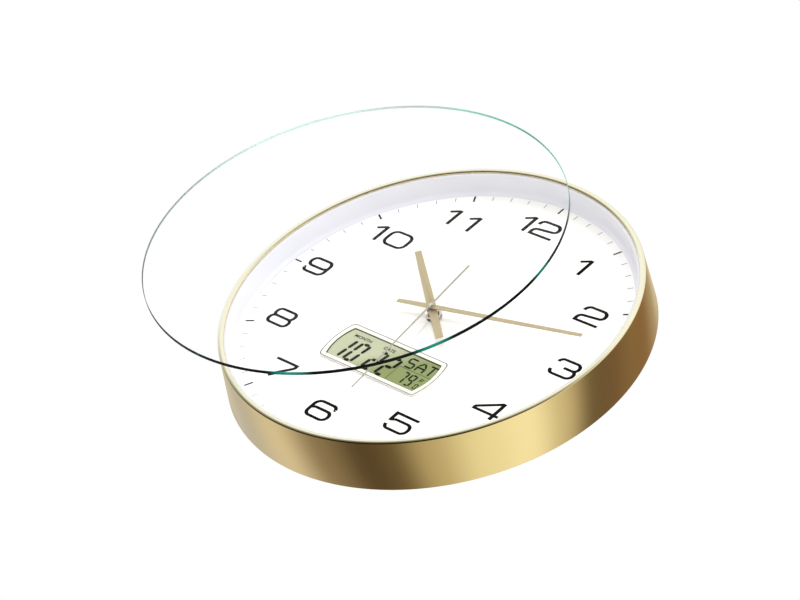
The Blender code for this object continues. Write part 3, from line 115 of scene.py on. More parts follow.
class ClockCaseSizes(bpy.types.PropertyGroup):
    """Sizes of the rim, the glass and the white ring"""

    rim_flare: length("Rim flare", "How much wider the rim is at the back than at the front", 2.9)
    lip_width: length("Lip width", "Width of the rim's flat lip round the glass", 4.3)
    lip_thickness: length("Lip thickness", "Thickness of the lip", 1.2)
    lip_crown: length("Lip crown", "How far the lip's edges lie behind its crown", 0.35)
    lip_round: length("Lip round", "Rounding of the lip's inner edge", 0.4)
    shoulder_round: length("Shoulder round", "Rounding between lip and outer wall", 0.7)
    rim_wall: length("Rim wall", "Thickness of the rim's wall", 1.5)
    rim_curl: length("Rim curl", "Depth of the turned in back edge", 1.2)
    glass_arris: length("Glass arris", "Ground bevel on the edges of the glass", 0.4)
    ledge_width: length("Ledge width", "White ledge that shows inside the lip", 1.6)
    wall_draft: length("Wall draft", "How much the white wall closes in towards the dial", 0.9)
    foot_round: length("Foot round", "Hollow rounding between the white wall and the dial", 3.3)
    ring_wall: length("Ring wall", "Thickness of the white ring's wall", 1.6)
    ring_top: length("Ring top", "Thickness of the white ring's ledge", 1.5)
    ring_skirt: length("Ring skirt", "Thickness of the white ring's outer skirt", 1.5)
    boss_radius: length("Boss radius", "Radius of the screw bosses", 2.2)
    screw_radius: length("Screw radius", "Radius of the screws", 1.1)
    steps: IntProperty(
        name="Steps", description="Facets of the large round pieces", default=256, subtype="UNSIGNED"
    )


class ClockDialSizes(bpy.types.PropertyGroup):
    """Sizes of the printing on the dial"""

    tick_circle: length("Tick circle", "Radius at the outer ends of the hour ticks", 138.6)
    hour_tick_length: length("Hour tick length", "Length of an hour tick", 6.4)
    hour_tick_width: length("Hour tick width", "Width of an hour tick", 1.35)
    minute_tick_outer: length("Minute tick circle", "Radius at the outer ends of the minute ticks", 137.8)
    minute_tick_length: length("Minute tick length", "Length of a minute tick", 4.2)
    minute_tick_width: length("Minute tick width", "Width of a minute tick", 0.45)
    upright_stroke: length("Upright stroke", "Width of a numeral's upright strokes", 3.0)
    level_stroke: length("Level stroke", "Width of a numeral's level strokes", 2.4)
    ink: length("Ink", "Thickness of the printed ink", 0.06)


class ClockCalendarSizes(bpy.types.PropertyGroup):
    """Sizes of the calendar window and what it shows"""

    width: length("Width", "Width of the window's frame", 95.4)
    height: length("Height", "Height of the window's frame", 37.0)
    bulge: length("Bulge", "How far the short sides bow outwards", 3.2)
    corner: length("Corner", "Corner radius of the frame", 3.4)
    border: length("Border", "Width of the frame", 3.4)
    flange: length("Flange", "Part of the frame that lies on the dial", 1.4)
    face: length("Face", "Thickness of the frame in front of the dial", 1.2)
    lip: length("Lip", "Thickness of the frame's lip over the display", 0.6)
    neck_wall: length("Neck wall", "Thickness of the frame's neck round the display", 1.0)
    bead: length("Bead", "Rounding of the frame's edges", 0.15)
    outline: length("Outline", "Width of the dark lines round the frame and the display", 0.6)
    segment: length("Segment", "Width of the large figures' bars", 2.6)
    ink: length("Ink", "Thickness of the figures on the display", 0.05)
    lean: FloatProperty(
        name="Lean", description="Sideways lean of the large figures per unit of height", default=0.14, subtype="FACTOR"
    )


class ClockHandSizes(bpy.types.PropertyGroup):
    """Sizes of the hands"""

    hour_width: length("Hour width", "Width of the hour hand at the hub", 6.4)
    hour_tip: length("Hour tip", "Width of the hour hand at its tip", 5.0)
    hour_tail: length("Hour tail", "Width of the hour hand at its tail", 5.4)
    minute_width: length("Minute width", "Width of the minute hand at the hub", 4.0)
    minute_tip: length("Minute tip", "Width of the minute hand at its tip", 2.8)
    minute_tail: length("Minute tail", "Width of the minute hand at its tail", 3.4)
    second_width: length("Second width", "Width of the second hand at the hub", 1.3)
    second_tip: length("Second tip", "Width of the second hand at its tip", 0.9)
    second_tail: length("Second tail", "Width of the second hand at its tail", 1.8)
    edge: length("Edge", "Rounding of the hands' edges", 0.1)


class ClockColours(bpy.types.PropertyGroup):
    """Colours of the clock"""

    rim: colour("Rim", "Gold anodised aluminium", "#EFDA9C")
    # The lip's paler gold is a painted highlight: the rim's gold lightened on the faces that look forwards
    lip: colour("Lip", "Rim's lip, cut and anodised paler", "#EFECD6")
    hands: colour("Hands", "Satin gold lacquer", "#BAAB89")
    second_hand: colour("Second hand", "Pale gold lacquer", "#ACAA9E")
    dial: colour("Dial", "White dial", "#FAFAFA")
    # The ring's grey lavender is partly the white plastic's own colour and partly painted shade on its wall
    ring: colour("Ring", "White ring between glass and dial", "#E0E1EA")
    ink: colour("Ink", "Numerals and hour ticks", "#070708")
    pale_ink: colour("Pale ink", "Minute ticks", "#5A5A5D")
    frame: colour("Window frame", "Frame of the calendar window", "#FAF8EE")
    outline: colour("Outline", "Dark lines round the calendar window", "#55544A")
    display: colour("Display", "Ground of the display, lower right", "#7F8C52")
    # The display's pale upper left is a painted sheen, a reflection painted into its colour
    display_pale: colour("Display, pale", "Ground of the display, upper left", "#B4BA9A")
    figures: colour("Figures", "Figures on the display", "#12140F")
    glass: colour("Glass", "Clear glass seen face on", "#FFFFFF")
    # The glass edge's colours are painted light: painted shade where it is darkest, painted highlights where it catches
    # light
    edge_deep: colour("Glass edge, deep", "Glass edge where it is darkest", "#04110F")
    edge_bright: colour("Glass edge, bright", "Glass edge where it catches light", "#1FA594")
    cover: colour("Cover", "Black moulded plastic", "#1B1B1C")
    grey: colour("Grey plastic", "Push buttons and switches", "#6B6D70")


# Modelling


def clear():
    """Object mode with nothing selected."""
    if bpy.context.mode != "OBJECT":
        bpy.ops.object.mode_set(mode="OBJECT")
    bpy.ops.object.select_all(action="DESELECT")


def choose(*pieces):
    """Selects only these pieces, the first one active."""
    clear()
    for piece in pieces:
        piece.select_set(True)
    bpy.context.view_layer.objects.active = pieces[0]
    return pieces[0]


def joined(pieces):
    choose(*pieces)
    bpy.ops.object.join()
    return bpy.context.object


def named(name):
    piece = bpy.context.object
    piece.name = piece.data.name = name
    return piece


def select_mesh():
    """Selects all of the mesh that is being edited."""
    bpy.ops.mesh.select_all(action="SELECT")


def smooth(angle=35):
    """Soft shading of the active piece up to an angle."""
    bpy.ops.object.shade_smooth_by_angle(angle=math.radians(angle))


def start_piece(name):
    """A new piece in edit mode with nothing in it."""
    clear()
    bpy.ops.mesh.primitive_plane_add(size=MM, location=(0, 0, 0))
    piece = named(name)
    bpy.ops.object.mode_set(mode="EDIT")
    select_mesh()
    bpy.ops.mesh.delete(type="VERT")
    return piece


def draw_line(points):
    """A corner in the mesh that is being edited, extruded from point to point."""
    bpy.ops.mesh.primitive_plane_add(size=MM, location=points[0])
    bpy.ops.mesh.merge(type="CENTER")
    for before, after in zip(points, points[1:]):
        bpy.ops.mesh.extrude_region_move(TRANSFORM_OT_translate={"value": Vector(after) - Vector(before)})


def draw_face(points):
    """A flat face with this outline, left selected."""
    draw_line(points)
    bpy.ops.mesh.select_linked()
    bpy.ops.mesh.edge_face_add()


def thicken(depth):
    """Extrudes all faces along Y and turns the shell's faces outwards."""
    select_mesh()
    bpy.ops.mesh.extrude_region_move(TRANSFORM_OT_translate={"value": (0, depth, 0)})
    select_mesh()
    bpy.ops.mesh.normals_make_consistent(inside=False)


def leave_edit(angle=35):
    bpy.ops.object.mode_set(mode="OBJECT")
    smooth(angle)


def spun(name, profile, centre, steps, closed=True, angle=35, axis=(0, 1, 0)):
    """A piece turned about an axis along Y or X through centre, from (radius, place along the axis) points."""
    piece = start_piece(name)
    points = [
        (centre[0], place, centre[2] + radius) if axis[1] else (place, centre[1], centre[2] + radius)
        for radius, place in profile
    ]
    draw_line(points + points[:1] if closed else points)
    select_mesh()
    bpy.ops.mesh.spin(steps=steps, angle=math.tau, center=centre, axis=axis)
    select_mesh()
    bpy.ops.mesh.remove_doubles(threshold=WELD)
    bpy.ops.mesh.normals_make_consistent(inside=False)
    leave_edit(angle)
    return piece


def soften_edges(piece, width, segments=2, angle=40):
    """Rounds a finished piece's sharp edges."""
    choose(piece)
    edge = piece.modifiers.new("softened edges", "BEVEL")
    edge.width, edge.segments = width, segments
    edge.limit_method, edge.angle_limit = "ANGLE", math.radians(angle)
    bpy.ops.object.modifier_apply(modifier=edge.name)
    smooth(angle)


def carve(piece, tool, operation="DIFFERENCE"):
    """Cuts the tool out of the piece, or joins it on, and removes the tool."""
    choose(piece)
    step = piece.modifiers.new("carve", "BOOLEAN")
    step.operation, step.object, step.solver = operation, tool, "EXACT"
    bpy.ops.object.modifier_apply(modifier=step.name)
    choose(tool)
    bpy.ops.object.delete()
    choose(piece)


def copied(piece, name, shift):
    """A copy with its own mesh, moved by shift."""
    choose(piece)
    bpy.ops.object.duplicate(linked=False)
    twin = named(name)
    bpy.ops.object.mode_set(mode="EDIT")
    select_mesh()
    bpy.ops.transform.translate(value=shift)
    bpy.ops.object.mode_set(mode="OBJECT")
    return twin


def polar(radius, turn, centre=AXIS, y=0.0):
    """Point at a radius and a turn, in degrees clockwise from 12 o'clock as seen from the front."""
    angle = math.radians(turn)
    return Vector((centre[0] + radius * math.sin(angle), y, centre[2] + radius * math.cos(angle)))


def rounded(corners, closed=True, steps=6):
    """Flat outline through (a, b, radius) corners, each with its own arc."""
    outline = []
    last = len(corners) - 1
    for index, (a, b, radius) in enumerate(corners):
        here = Vector((a, b))
        if radius == 0 or (not closed and index in (0, last)):
            outline.append(here)
            continue
        before = (Vector(corners[index - 1][:2]) - here).normalized()
        after = (Vector(corners[(index + 1) % len(corners)][:2]) - here).normalized()
        half = before.angle(after) / 2
        centre = here + (before + after).normalized() * radius / math.sin(half)
        start = here + before * radius / math.tan(half) - centre
        end = here + after * radius / math.tan(half) - centre
        sweep = -start.angle_signed(end)
        outline += [centre + Matrix.Rotation(sweep * step / steps, 2) @ start for step in range(steps + 1)]
    return outline


def box_outline(left, foot, right, top, corner=0, steps=6):
    """Outline of a rectangle, with its corners rounded if a radius is given."""
    corners = [(left, foot, corner), (right, foot, corner), (right, top, corner), (left, top, corner)]
    return rounded(corners, steps=steps)


def prism(name, outline, front, back):
    """A straight piece from its outline of (x, z) points about the clock's axis."""
    piece = start_piece(name)
    draw_face([(AXIS.x + x, front, AXIS.z + z) for x, z in outline])
    thicken(back - front)
    leave_edit()
    return piece


def cylinder(name, radius, front, back, centre=(0, 0), steps=48):
    """A round tool or stem along Y, about a place (x, z) from the clock's axis."""
    clear()
    where = (AXIS.x + centre[0], (front + back) / 2, AXIS.z + centre[1])
    bpy.ops.mesh.primitive_cylinder_add(
        vertices=steps, radius=radius, depth=abs(back - front), location=where, rotation=(math.pi / 2, 0, 0)
    )
    bpy.ops.object.transform_apply(location=True, rotation=True, scale=True)
    return named(name)


def middle_of(node):
    """Place of a node from the clock's axis, as (x, z)."""
    low, high = corners_of(node)
    return ((low.x + high.x) / 2 - AXIS.x, (low.z + high.z) / 2 - AXIS.z)


# Materials


def paint(word, darker=1.0):
    """Colour for a socket, from a hex code or the name of one of the clock's colours."""
    parts = linear(word) if word.startswith("#") else getattr(bpy.context.scene.clock_colours, word)
    return (*[part * darker for part in parts], 1.0)


def per(millimetres):
    """Scale of a pattern that repeats every so many millimetres."""
    return 1 / (millimetres * MM)


def add(tree, kind, inputs=None, **settings):
    """Adds a node. An input is a value, a socket, or a node, which stands for its first output in use."""
    made = tree.nodes.new(kind)
    for name, value in settings.items():
        setattr(made, name, value)
    for name, value in (inputs or {}).items():
        if isinstance(value, bpy.types.Node):
            value = next(socket for socket in value.outputs if socket.enabled)
        if isinstance(value, bpy.types.NodeSocket):
            tree.links.new(value, made.inputs[name])
        else:
            made.inputs[name].default_value = value
    return made


def blank_material(name):
    """A new material, its empty tree and the Object coordinates that its patterns read."""
    material = bpy.data.materials.new(name)
    material.use_nodes = True
    tree = material.node_tree
    tree.nodes.clear()
    return material, tree, add(tree, "ShaderNodeTexCoord").outputs["Object"]


def set_stops(ramp, stops, low=0.0, high=1.0, blend="LINEAR"):
    """Gives a ramp its (place, colour) stops, with places from low to high."""
    ramp.color_ramp.interpolation = blend
    elements = ramp.color_ramp.elements
    for element, (place, code) in zip(elements, (stops[0], stops[-1])):
        element.position, element.color = (place - low) / (high - low), paint(code)
    for place, code in stops[1:-1]:
        elements.new((place - low) / (high - low)).color = paint(code)


def colours_round(tree, way, stops, blend="LINEAR"):
    """Colours by a direction's turn, in degrees clockwise from straight up as seen from the front."""
    parts = add(tree, "ShaderNodeSeparateXYZ", {"Vector": way})
    turn = add(tree, "ShaderNodeMath", {0: parts.outputs["X"], 1: parts.outputs["Z"]}, operation="ARCTAN2")
    share = add(tree, "ShaderNodeMapRange", {"Value": turn, "From Min": -math.pi, "From Max": math.pi})
    ramp = add(tree, "ShaderNodeValToRGB", {"Fac": share})
    set_stops(ramp, stops, -180, 180, blend)
    return parts, turn, ramp


def moulded_plastic(name, shade, roughness, grain, depth, mottle=0.94, index=1.5):
    """Injection moulded plastic: even colour with a faint flow mottle, and the fine grain of its mould."""
    material, tree, place = blank_material(name)
    flow = add(tree, "ShaderNodeTexNoise", {"Vector": place, "Scale": per(45), "Detail": 2.0})
    tint = add(tree, "ShaderNodeMix", {0: flow, 6: paint(shade, mottle), 7: paint(shade)}, data_type="RGBA")
    sparks = add(tree, "ShaderNodeTexNoise", {"Vector": place, "Scale": per(grain), "Detail": 3.0})
    shine = add(tree, "ShaderNodeMapRange", {"Value": sparks, "To Min": roughness - 0.05, "To Max": roughness + 0.08})
    bump = add(tree, "ShaderNodeBump", {"Height": sparks, "Distance": depth * MM, "Strength": 0.6})
    inputs = {"Base Color": tint, "Roughness": shine, "IOR": index, "Normal": bump}
    add(tree, "ShaderNodeOutputMaterial", {"Surface": add(tree, "ShaderNodeBsdfPrincipled", inputs)})
    return material


def worked_metal(name, shade, roughness, grain, spread=0.12, metallic=1.0, stretch=(1, 1, 1), second=None):
    """Metal with the marks of its making: rolled, turned or plated, finer across the marks than along them."""
    material, tree, place = blank_material(name)
    drawn = add(tree, "ShaderNodeMapping", {"Vector": place, "Scale": stretch})
    marks = add(tree, "ShaderNodeTexNoise", {"Vector": drawn, "Scale": per(grain), "Detail": 4.0})
    cloud = add(tree, "ShaderNodeTexNoise", {"Vector": place, "Scale": per(9), "Detail": 2.0})
    tint = add(tree, "ShaderNodeMix", {0: cloud, 6: paint(second or shade, 0.9), 7: paint(shade)}, data_type="RGBA")
    low = max(roughness - spread / 2, 0.03)
    shine = add(tree, "ShaderNodeMapRange", {"Value": marks, "To Min": low, "To Max": roughness + spread})
    bump = add(tree, "ShaderNodeBump", {"Height": marks, "Distance": 0.004 * MM, "Strength": 0.5})
    inputs = {"Base Color": tint, "Metallic": metallic, "Roughness": shine, "Normal": bump}
    add(tree, "ShaderNodeOutputMaterial", {"Surface": add(tree, "ShaderNodeBsdfPrincipled", inputs)})
    return material


def anodised_aluminium(name, shade, roughness):
    """Spun aluminium, etched and gold anodised: soft reflections, with faint lines round the axis."""
    material, tree, place = blank_material(name)
    from_axis = add(tree, "ShaderNodeVectorMath", {0: place, 1: AXIS}, operation="SUBTRACT")
    outward = add(tree, "ShaderNodeVectorMath", {0: from_axis, 1: (1, 0, 1)}, operation="MULTIPLY")
    radius = add(tree, "ShaderNodeVectorMath", {0: outward}, operation="LENGTH")
    along = add(tree, "ShaderNodeSeparateXYZ", {"Vector": place})
    turned = add(tree, "ShaderNodeCombineXYZ", {"X": radius, "Y": along.outputs["Y"]})
    # Spinning marks are about 0.1 mm apart and are drawn at 0.5 mm so that they show
    lines = add(tree, "ShaderNodeTexNoise", {"Vector": turned, "Scale": per(0.5), "Detail": 2.0})
    etch = add(tree, "ShaderNodeTexNoise", {"Vector": place, "Scale": per(0.4), "Detail": 2.0})
    both = add(tree, "ShaderNodeMath", {0: lines, 1: etch}, operation="ADD")
    bath = add(tree, "ShaderNodeTexNoise", {"Vector": place, "Scale": per(70), "Detail": 1.0})
    tint = add(tree, "ShaderNodeMix", {0: bath, 6: paint(shade, 0.95), 7: paint(shade)}, data_type="RGBA")
    shine = add(
        tree, "ShaderNodeMapRange",
        {"Value": both, "From Max": 2.0, "To Min": roughness - 0.04, "To Max": roughness + 0.06},
    )
    bump = add(tree, "ShaderNodeBump", {"Height": both, "Distance": 0.002 * MM, "Strength": 0.5})
    inputs = {"Base Color": tint, "Metallic": 1.0, "Roughness": shine, "Normal": bump}
    add(tree, "ShaderNodeOutputMaterial", {"Surface": add(tree, "ShaderNodeBsdfPrincipled", inputs)})
    return material


def float_glass(shade):
    """Polished glass, coated against reflections: colourless face on, and it lets the lamps' light through."""
    material, tree, place = blank_material("float_glass_polished")
    # Float glass is flat to a few hundredths of a millimetre over a few centimetres
    sway = add(tree, "ShaderNodeTexNoise", {"Vector": place, "Scale": per(60), "Detail": 0.0})
    bump = add(tree, "ShaderNodeBump", {"Height": sway, "Distance": 0.02 * MM, "Strength": 0.3})
    # The coating leaves hardly any reflection, so the index is set below the sheet's 1.52
    shader = add(
        tree, "ShaderNodeBsdfPrincipled",
        {"Base Color": paint(shade), "Roughness": 0.0, "IOR": 1.14, "Transmission Weight": 1.0, "Normal": bump},
    )
    passing = add(tree, "ShaderNodeBsdfTransparent", {"Color": paint(shade)})
    # Light on its way to the other pieces passes straight through, as a thin sheet lets it
    light = add(tree, "ShaderNodeLightPath").outputs
    mirrored = add(
        tree, "ShaderNodeMath", {0: light["Is Glossy Ray"], 1: light["Is Transmission Ray"]},
        operation="SUBTRACT", use_clamp=True,
    )
    lamps = add(tree, "ShaderNodeMath", {0: light["Is Shadow Ray"], 1: light["Is Diffuse Ray"]}, operation="MAXIMUM")
    rays = add(tree, "ShaderNodeMath", {0: lamps, 1: mirrored}, operation="MAXIMUM")
    both = add(tree, "ShaderNodeMixShader", {0: rays, 1: shader, 2: passing})
    add(tree, "ShaderNodeOutputMaterial", {"Surface": both})
    return material


def ground_glass(deep, bright):
    """Ground edge of the glass with painted light: painted shade nearly black below, painted highlights in blue green
    stretches, and a pale painted reflection above.
    """
    low, high = corners_of("glass_lens")
    centre, radius = (low + high) / 2, (high.x - low.x) / 2
    material, tree, place = blank_material("float_glass_ground_edge")
    middle = add(tree, "ShaderNodeVectorMath", {0: place, 1: centre}, operation="SUBTRACT")
    # Painted light round the edge by turn: painted shade below and on the lower right, paler painted reflections on the
    # left and above
    stops = [
        (-180, deep), (-145, "#1C2B29"), (-125, "#6F7F7D"), (-95, "#A3B1AF"), (-72, "#CFEFEA"), (-45, "#D8F7F3"),
        (-26, "#C8D0D2"), (-10, "#9CDCD4"), (14, "#4AA79B"), (36, "#8FD0CA"), (47, "#5C8F8B"), (58, "#0F2A26"),
        (80, deep), (180, deep),
    ]
    turn, ramp = colours_round(tree, middle, stops)[1:]
    # Painted highlights: bright stretches lie about 95 mm apart along the lower edge and are a few centimetres long
    waver = add(tree, "ShaderNodeTexNoise", {"Vector": place, "Scale": per(50), "Detail": 1.0})
    often, first = 9.6, 78
    beat = add(
        tree, "ShaderNodeMath", {0: turn, 1: often, 2: -math.radians(often * first)}, operation="MULTIPLY_ADD"
    )
    wave = add(tree, "ShaderNodeMath", {0: beat}, operation="COSINE")
    uneven = add(tree, "ShaderNodeMath", {0: wave, 1: waver}, operation="ADD")
    runs = add(
        tree, "ShaderNodeMapRange", {"Value": uneven, "From Min": 1.05, "From Max": 1.75},
        interpolation_type="SMOOTHSTEP",
    )
    lower = add(tree, "ShaderNodeVectorMath", {0: middle, 1: (0.37, 0, -0.93)}, operation="DOT_PRODUCT")
    below = add(
        tree, "ShaderNodeMapRange", {"Value": lower, "From Min": -0.02 * radius, "From Max": 0.14 * radius}
    )
    # Painted highlights only along the lower edge
    painted_highlight_share = add(tree, "ShaderNodeMath", {0: runs, 1: below}, operation="MULTIPLY")
    tint = add(tree, "ShaderNodeMix", {0: painted_highlight_share, 6: ramp.outputs["Color"], 7: paint(bright)}, data_type="RGBA")
    grit = add(tree, "ShaderNodeTexNoise", {"Vector": place, "Scale": per(0.3), "Detail": 2.0})
    bump = add(tree, "ShaderNodeBump", {"Height": grit, "Distance": 0.01 * MM, "Strength": 0.5})
    inputs = {"Base Color": tint, "Roughness": 0.35, "IOR": 1.2, "Normal": bump}
    add(tree, "ShaderNodeOutputMaterial", {"Surface": add(tree, "ShaderNodeBsdfPrincipled", inputs)})
    return material


def liquid_crystal(shade, pale):
    """Reflective liquid crystal cell: grey green behind a glossy film, with a painted sheen that makes it paler towards
    the upper left.
    """
    material, tree, place = blank_material("lcd_polariser_grey_green")
    low, high = corners_of("lcd_panel")
    middle = add(tree, "ShaderNodeVectorMath", {0: place, 1: (low + high) / 2}, operation="SUBTRACT")
    # Painted sheen: the cell's colour pales along this slant towards the upper left
    painted_sheen_slant = add(tree, "ShaderNodeVectorMath", {0: middle, 1: (1, 0, -1)}, operation="DOT_PRODUCT")
    cell = add(tree, "ShaderNodeTexNoise", {"Vector": place, "Scale": per(30), "Detail": 1.0})
    uneven = add(tree, "ShaderNodeMath", {0: cell, 1: 12 * MM, 2: painted_sheen_slant}, operation="MULTIPLY_ADD")
    share = add(
        tree, "ShaderNodeMapRange", {"Value": uneven, "From Min": -8 * MM, "From Max": 26 * MM},
        interpolation_type="SMOOTHSTEP",
    )
    tint = add(tree, "ShaderNodeMix", {0: share, 6: paint(pale), 7: paint(shade)}, data_type="RGBA")
    # The reflecting foil behind the cell has a grain of about 0.2 mm
    foil = add(tree, "ShaderNodeTexNoise", {"Vector": place, "Scale": per(0.25), "Detail": 1.0})
    shine = add(tree, "ShaderNodeMapRange", {"Value": foil, "To Min": 0.35, "To Max": 0.5})
    inputs = {"Base Color": tint, "Roughness": shine, "IOR": 1.45, "Coat Weight": 0.35, "Coat Roughness": 0.04}
    add(tree, "ShaderNodeOutputMaterial", {"Surface": add(tree, "ShaderNodeBsdfPrincipled", inputs)})
    return material


def striped(name, first, second, roughness, metallic=0.0):
    """Fine parallel layers or turns across X, such as layered rubber or wound wire."""
    # The layers are 0.05 mm thick and the wire 0.03 mm, and both are drawn at 0.4 mm so that they show
    pitch = 0.4
    material, tree, place = blank_material(name)
    bands = add(
        tree, "ShaderNodeTexWave", {"Vector": place, "Scale": per(pitch) / 20, "Distortion": 0.3}, bands_direction="X"
    ).outputs["Fac"]
    tint = add(tree, "ShaderNodeMix", {0: bands, 6: paint(first), 7: paint(second)}, data_type="RGBA")
    bump = add(tree, "ShaderNodeBump", {"Height": bands, "Distance": pitch / 4 * MM, "Strength": 0.5})
    inputs = {"Base Color": tint, "Metallic": metallic, "Roughness": roughness, "Normal": bump}
    add(tree, "ShaderNodeOutputMaterial", {"Surface": add(tree, "ShaderNodeBsdfPrincipled", inputs)})
    return material


def battery_sleeve():
    """Printed foil sleeve of a dry cell: dark body and a copper coloured band at the plus end, glossy."""
    low, high = corners_of("battery")
    material, tree, place = blank_material("printed_foil_sleeve")
    parts = add(tree, "ShaderNodeSeparateXYZ", {"Vector": place})
    share = add(
        tree, "ShaderNodeMapRange", {"Value": parts.outputs["X"], "From Min": low.x, "From Max": high.x}
    )
    ramp = add(tree, "ShaderNodeValToRGB", {"Fac": share})
    set_stops(ramp, [(0, "#B9BCC0"), (0.025, "#23262B"), (0.7, "#B8763A"), (0.955, "#B9BCC0")], blend="CONSTANT")
    print_grain = add(tree, "ShaderNodeTexNoise", {"Vector": place, "Scale": per(0.6), "Detail": 1.0})
    shine = add(tree, "ShaderNodeMapRange", {"Value": print_grain, "To Min": 0.2, "To Max": 0.32})
    inputs = {"Base Color": ramp.outputs["Color"], "Metallic": 0.75, "Roughness": shine}
    add(tree, "ShaderNodeOutputMaterial", {"Surface": add(tree, "ShaderNodeBsdfPrincipled", inputs)})
    return material


FINISHES = {
    "rim": (anodised_aluminium, "anodised_aluminium_satin_gold", "rim", 0.19),
    # The lip's finish is the rim's gold made paler, a painted highlight
    "lip": (anodised_aluminium, "anodised_aluminium_cut_lip", "lip", 0.13),
    "hands": (worked_metal, "lacquered_aluminium_satin_gold", "hands", 0.45, 0.35, 0.08, 0.25),
    "second hand": (worked_metal, "lacquered_aluminium_pale_gold", "second_hand", 0.45, 0.35, 0.08, 0.25),
    "dial": (moulded_plastic, "white_lacquered_dial", "dial", 0.5, 0.9, 0.004, 0.985),
    # The ring's colour holds painted shade as well as the white plastic's own colour
    "ring": (moulded_plastic, "white_abs_moulded", "ring", 0.38, 0.7, 0.006, 0.98),
    "frame": (moulded_plastic, "white_abs_gloss", "frame", 0.3, 0.7, 0.004, 0.98),
    "ink": (moulded_plastic, "screen_print_ink_black", "ink", 0.6, 0.3, 0.004, 0.8, 1.2),
    "pale ink": (moulded_plastic, "screen_print_ink_grey", "pale_ink", 0.6, 0.3, 0.004, 0.9, 1.2),
    "cover": (moulded_plastic, "black_abs_spark_texture", "cover", 0.5, 0.5, 0.03, 0.8),
    "grey": (moulded_plastic, "grey_abs_moulded", "grey", 0.42, 0.5, 0.01, 0.92),
    "acetal": (moulded_plastic, "acetal_natural", "#EDEBE0", 0.33, 0.6, 0.004, 0.96),
    "rubber": (moulded_plastic, "rubber_moulded_black", "#222222", 0.75, 0.3, 0.02, 0.8),
    "board": (moulded_plastic, "circuit_board_green_mask", "#1F5B3A", 0.3, 1.2, 0.02, 0.85),
    # The plating's grey is warmed towards brown, a painted reflection of the warm surroundings it mirrors
    "chrome": (worked_metal, "nickel_plated_brass", "#E0D5D0", 0.1, 0.3, 0.05),
    "zinc": (worked_metal, "steel_zinc_plated", "#C4C6C8", 0.3, 0.25, 0.12, 1.0, (1, 1, 1), "#B9BDC9"),
    "spring": (worked_metal, "spring_steel_nickel_plated", "#CFCFCF", 0.24, 0.3, 0.12, 1.0, (1, 1, 6)),
    "core": (worked_metal, "silicon_steel_stamped", "#8E9093", 0.36, 0.4, 0.12, 1.0, (6, 1, 1)),
    "magnet": (worked_metal, "magnet_nickel_coated", "#7D7F84", 0.3, 0.3),
    "figures": (moulded_plastic, "lcd_segments_dark", "figures", 0.5, 0.3, 0.001, 0.9, 1.2),
    # A thin dark line on the dial along the outer edge of the window's frame
    "outline": (moulded_plastic, "screen_print_ink_outline", "outline", 0.6, 0.3, 0.004, 0.9, 1.2),
    # The display's paler colour is a painted sheen
    "display": (liquid_crystal, "display", "display_pale"),
    "glass": (float_glass, "glass"),
    "glass edge": (ground_glass, "edge_deep", "edge_bright"),
    "zebra": (striped, "layered_silicone_rubber", "#E4E0D6", "#1C1C1C", 0.6),
    "winding": (striped, "copper_wire_enamelled", "#D07A45", "#8A4420", 0.3, 1.0),
    "sleeve": (battery_sleeve,),
}


def finish(kind):
    """The finish of this name, made when it is first asked for."""
    tag = f"clock finish {kind}"
    for material in bpy.data.materials:
        if material.get("finish") == tag:
            return material
    maker, *values = FINISHES[kind]
    material = maker(*values)
    material["finish"] = tag
    return material


def settle(piece, kinds, slot, body, *nodes):
    """Gives a piece its finishes and the body that it rides on, and hides the nodes that it stands for. The slot is not
    used.
    """
    piece.data.materials.clear()
    for kind in [kinds] if isinstance(kinds, str) else kinds:
        piece.data.materials.append(finish(kind))
    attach(piece, body)
    if nodes:
        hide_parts(*nodes)


# Case


class WALLCLOCK_OT_rim(bpy.types.Operator):
    """Spins the aluminium rim from its section"""

    bl_idname = "wallclock.rim"
    bl_label = "Rim"

    def execute(self, context):
        case = context.scene.clock_case
        front, back, rear = RIM_LOW.y, RIM_HIGH.y, RIM_HIGH.x - AXIS.x
        nose = rear - case.rim_flare
        mouth = nose - case.lip_width
        lip_back = front + case.lip_thickness
        inside = rear - case.rim_wall
        curled, curl = inside - case.rim_curl, -1.5 * MM
        curl_front = curl - case.rim_wall
        lean = case.rim_flare / (back - front)
        crown = []
        for step in range(9):
            share = step / 4 - 1
            corner = {0: case.lip_round, 8: case.shoulder_round}.get(step, 0)
            crown.append(((mouth + nose) / 2 + case.lip_width / 2 * share, front + case.lip_crown * share**2, corner))
        section = rounded(
            [
                (mouth, lip_back, FINE), *crown, (rear, back, 0.4 * MM), (inside, back, FINE),
                (inside + lean * curl, curl, FINE), (curled, curl, FINE), (curled, curl_front, FINE),
                (inside + lean * curl_front, curl_front, FINE), (nose - case.rim_wall, lip_back, FINE),
            ],
            steps=4,
        )
        rim = spun("rim_spun", section, AXIS, case.steps)
        settle(rim, ("rim", "lip"), "gold_aluminium", "clock_case", "rim")
        # Faces that look forwards, within about 37 degrees, belong to the lip and get its paler gold, a painted
        # highlight
        for face in rim.data.polygons:
            face.material_index = int(face.normal.y < -0.8)
        return {"FINISHED"}


class WALLCLOCK_OT_glass(bpy.types.Operator):
    """Spins the flat glass with its ground edge"""

    bl_idname = "wallclock.glass"
    bl_label = "Glass"

    def execute(self, context):
        case = context.scene.clock_case
        low, high = corners_of("glass_lens")
        centre = Vector(((low.x + high.x) / 2, 0, (low.z + high.z) / 2))
        radius, arris = (high.x - low.x) / 2, case.glass_arris
        section = [
            (0, low.y), (radius - arris, low.y), (radius, low.y + arris),
            (radius, high.y - arris), (radius - arris, high.y), (0, high.y),
        ]
        glass = spun("glass_disc", section, centre, case.steps, closed=False, angle=30)
        settle(glass, ("glass", "glass edge"), "clear_glass", "glass", "glass_lens")
        for face in glass.data.polygons:
            face.material_index = int((face.center - centre).xz.length > radius - arris)
        return {"FINISHED"}


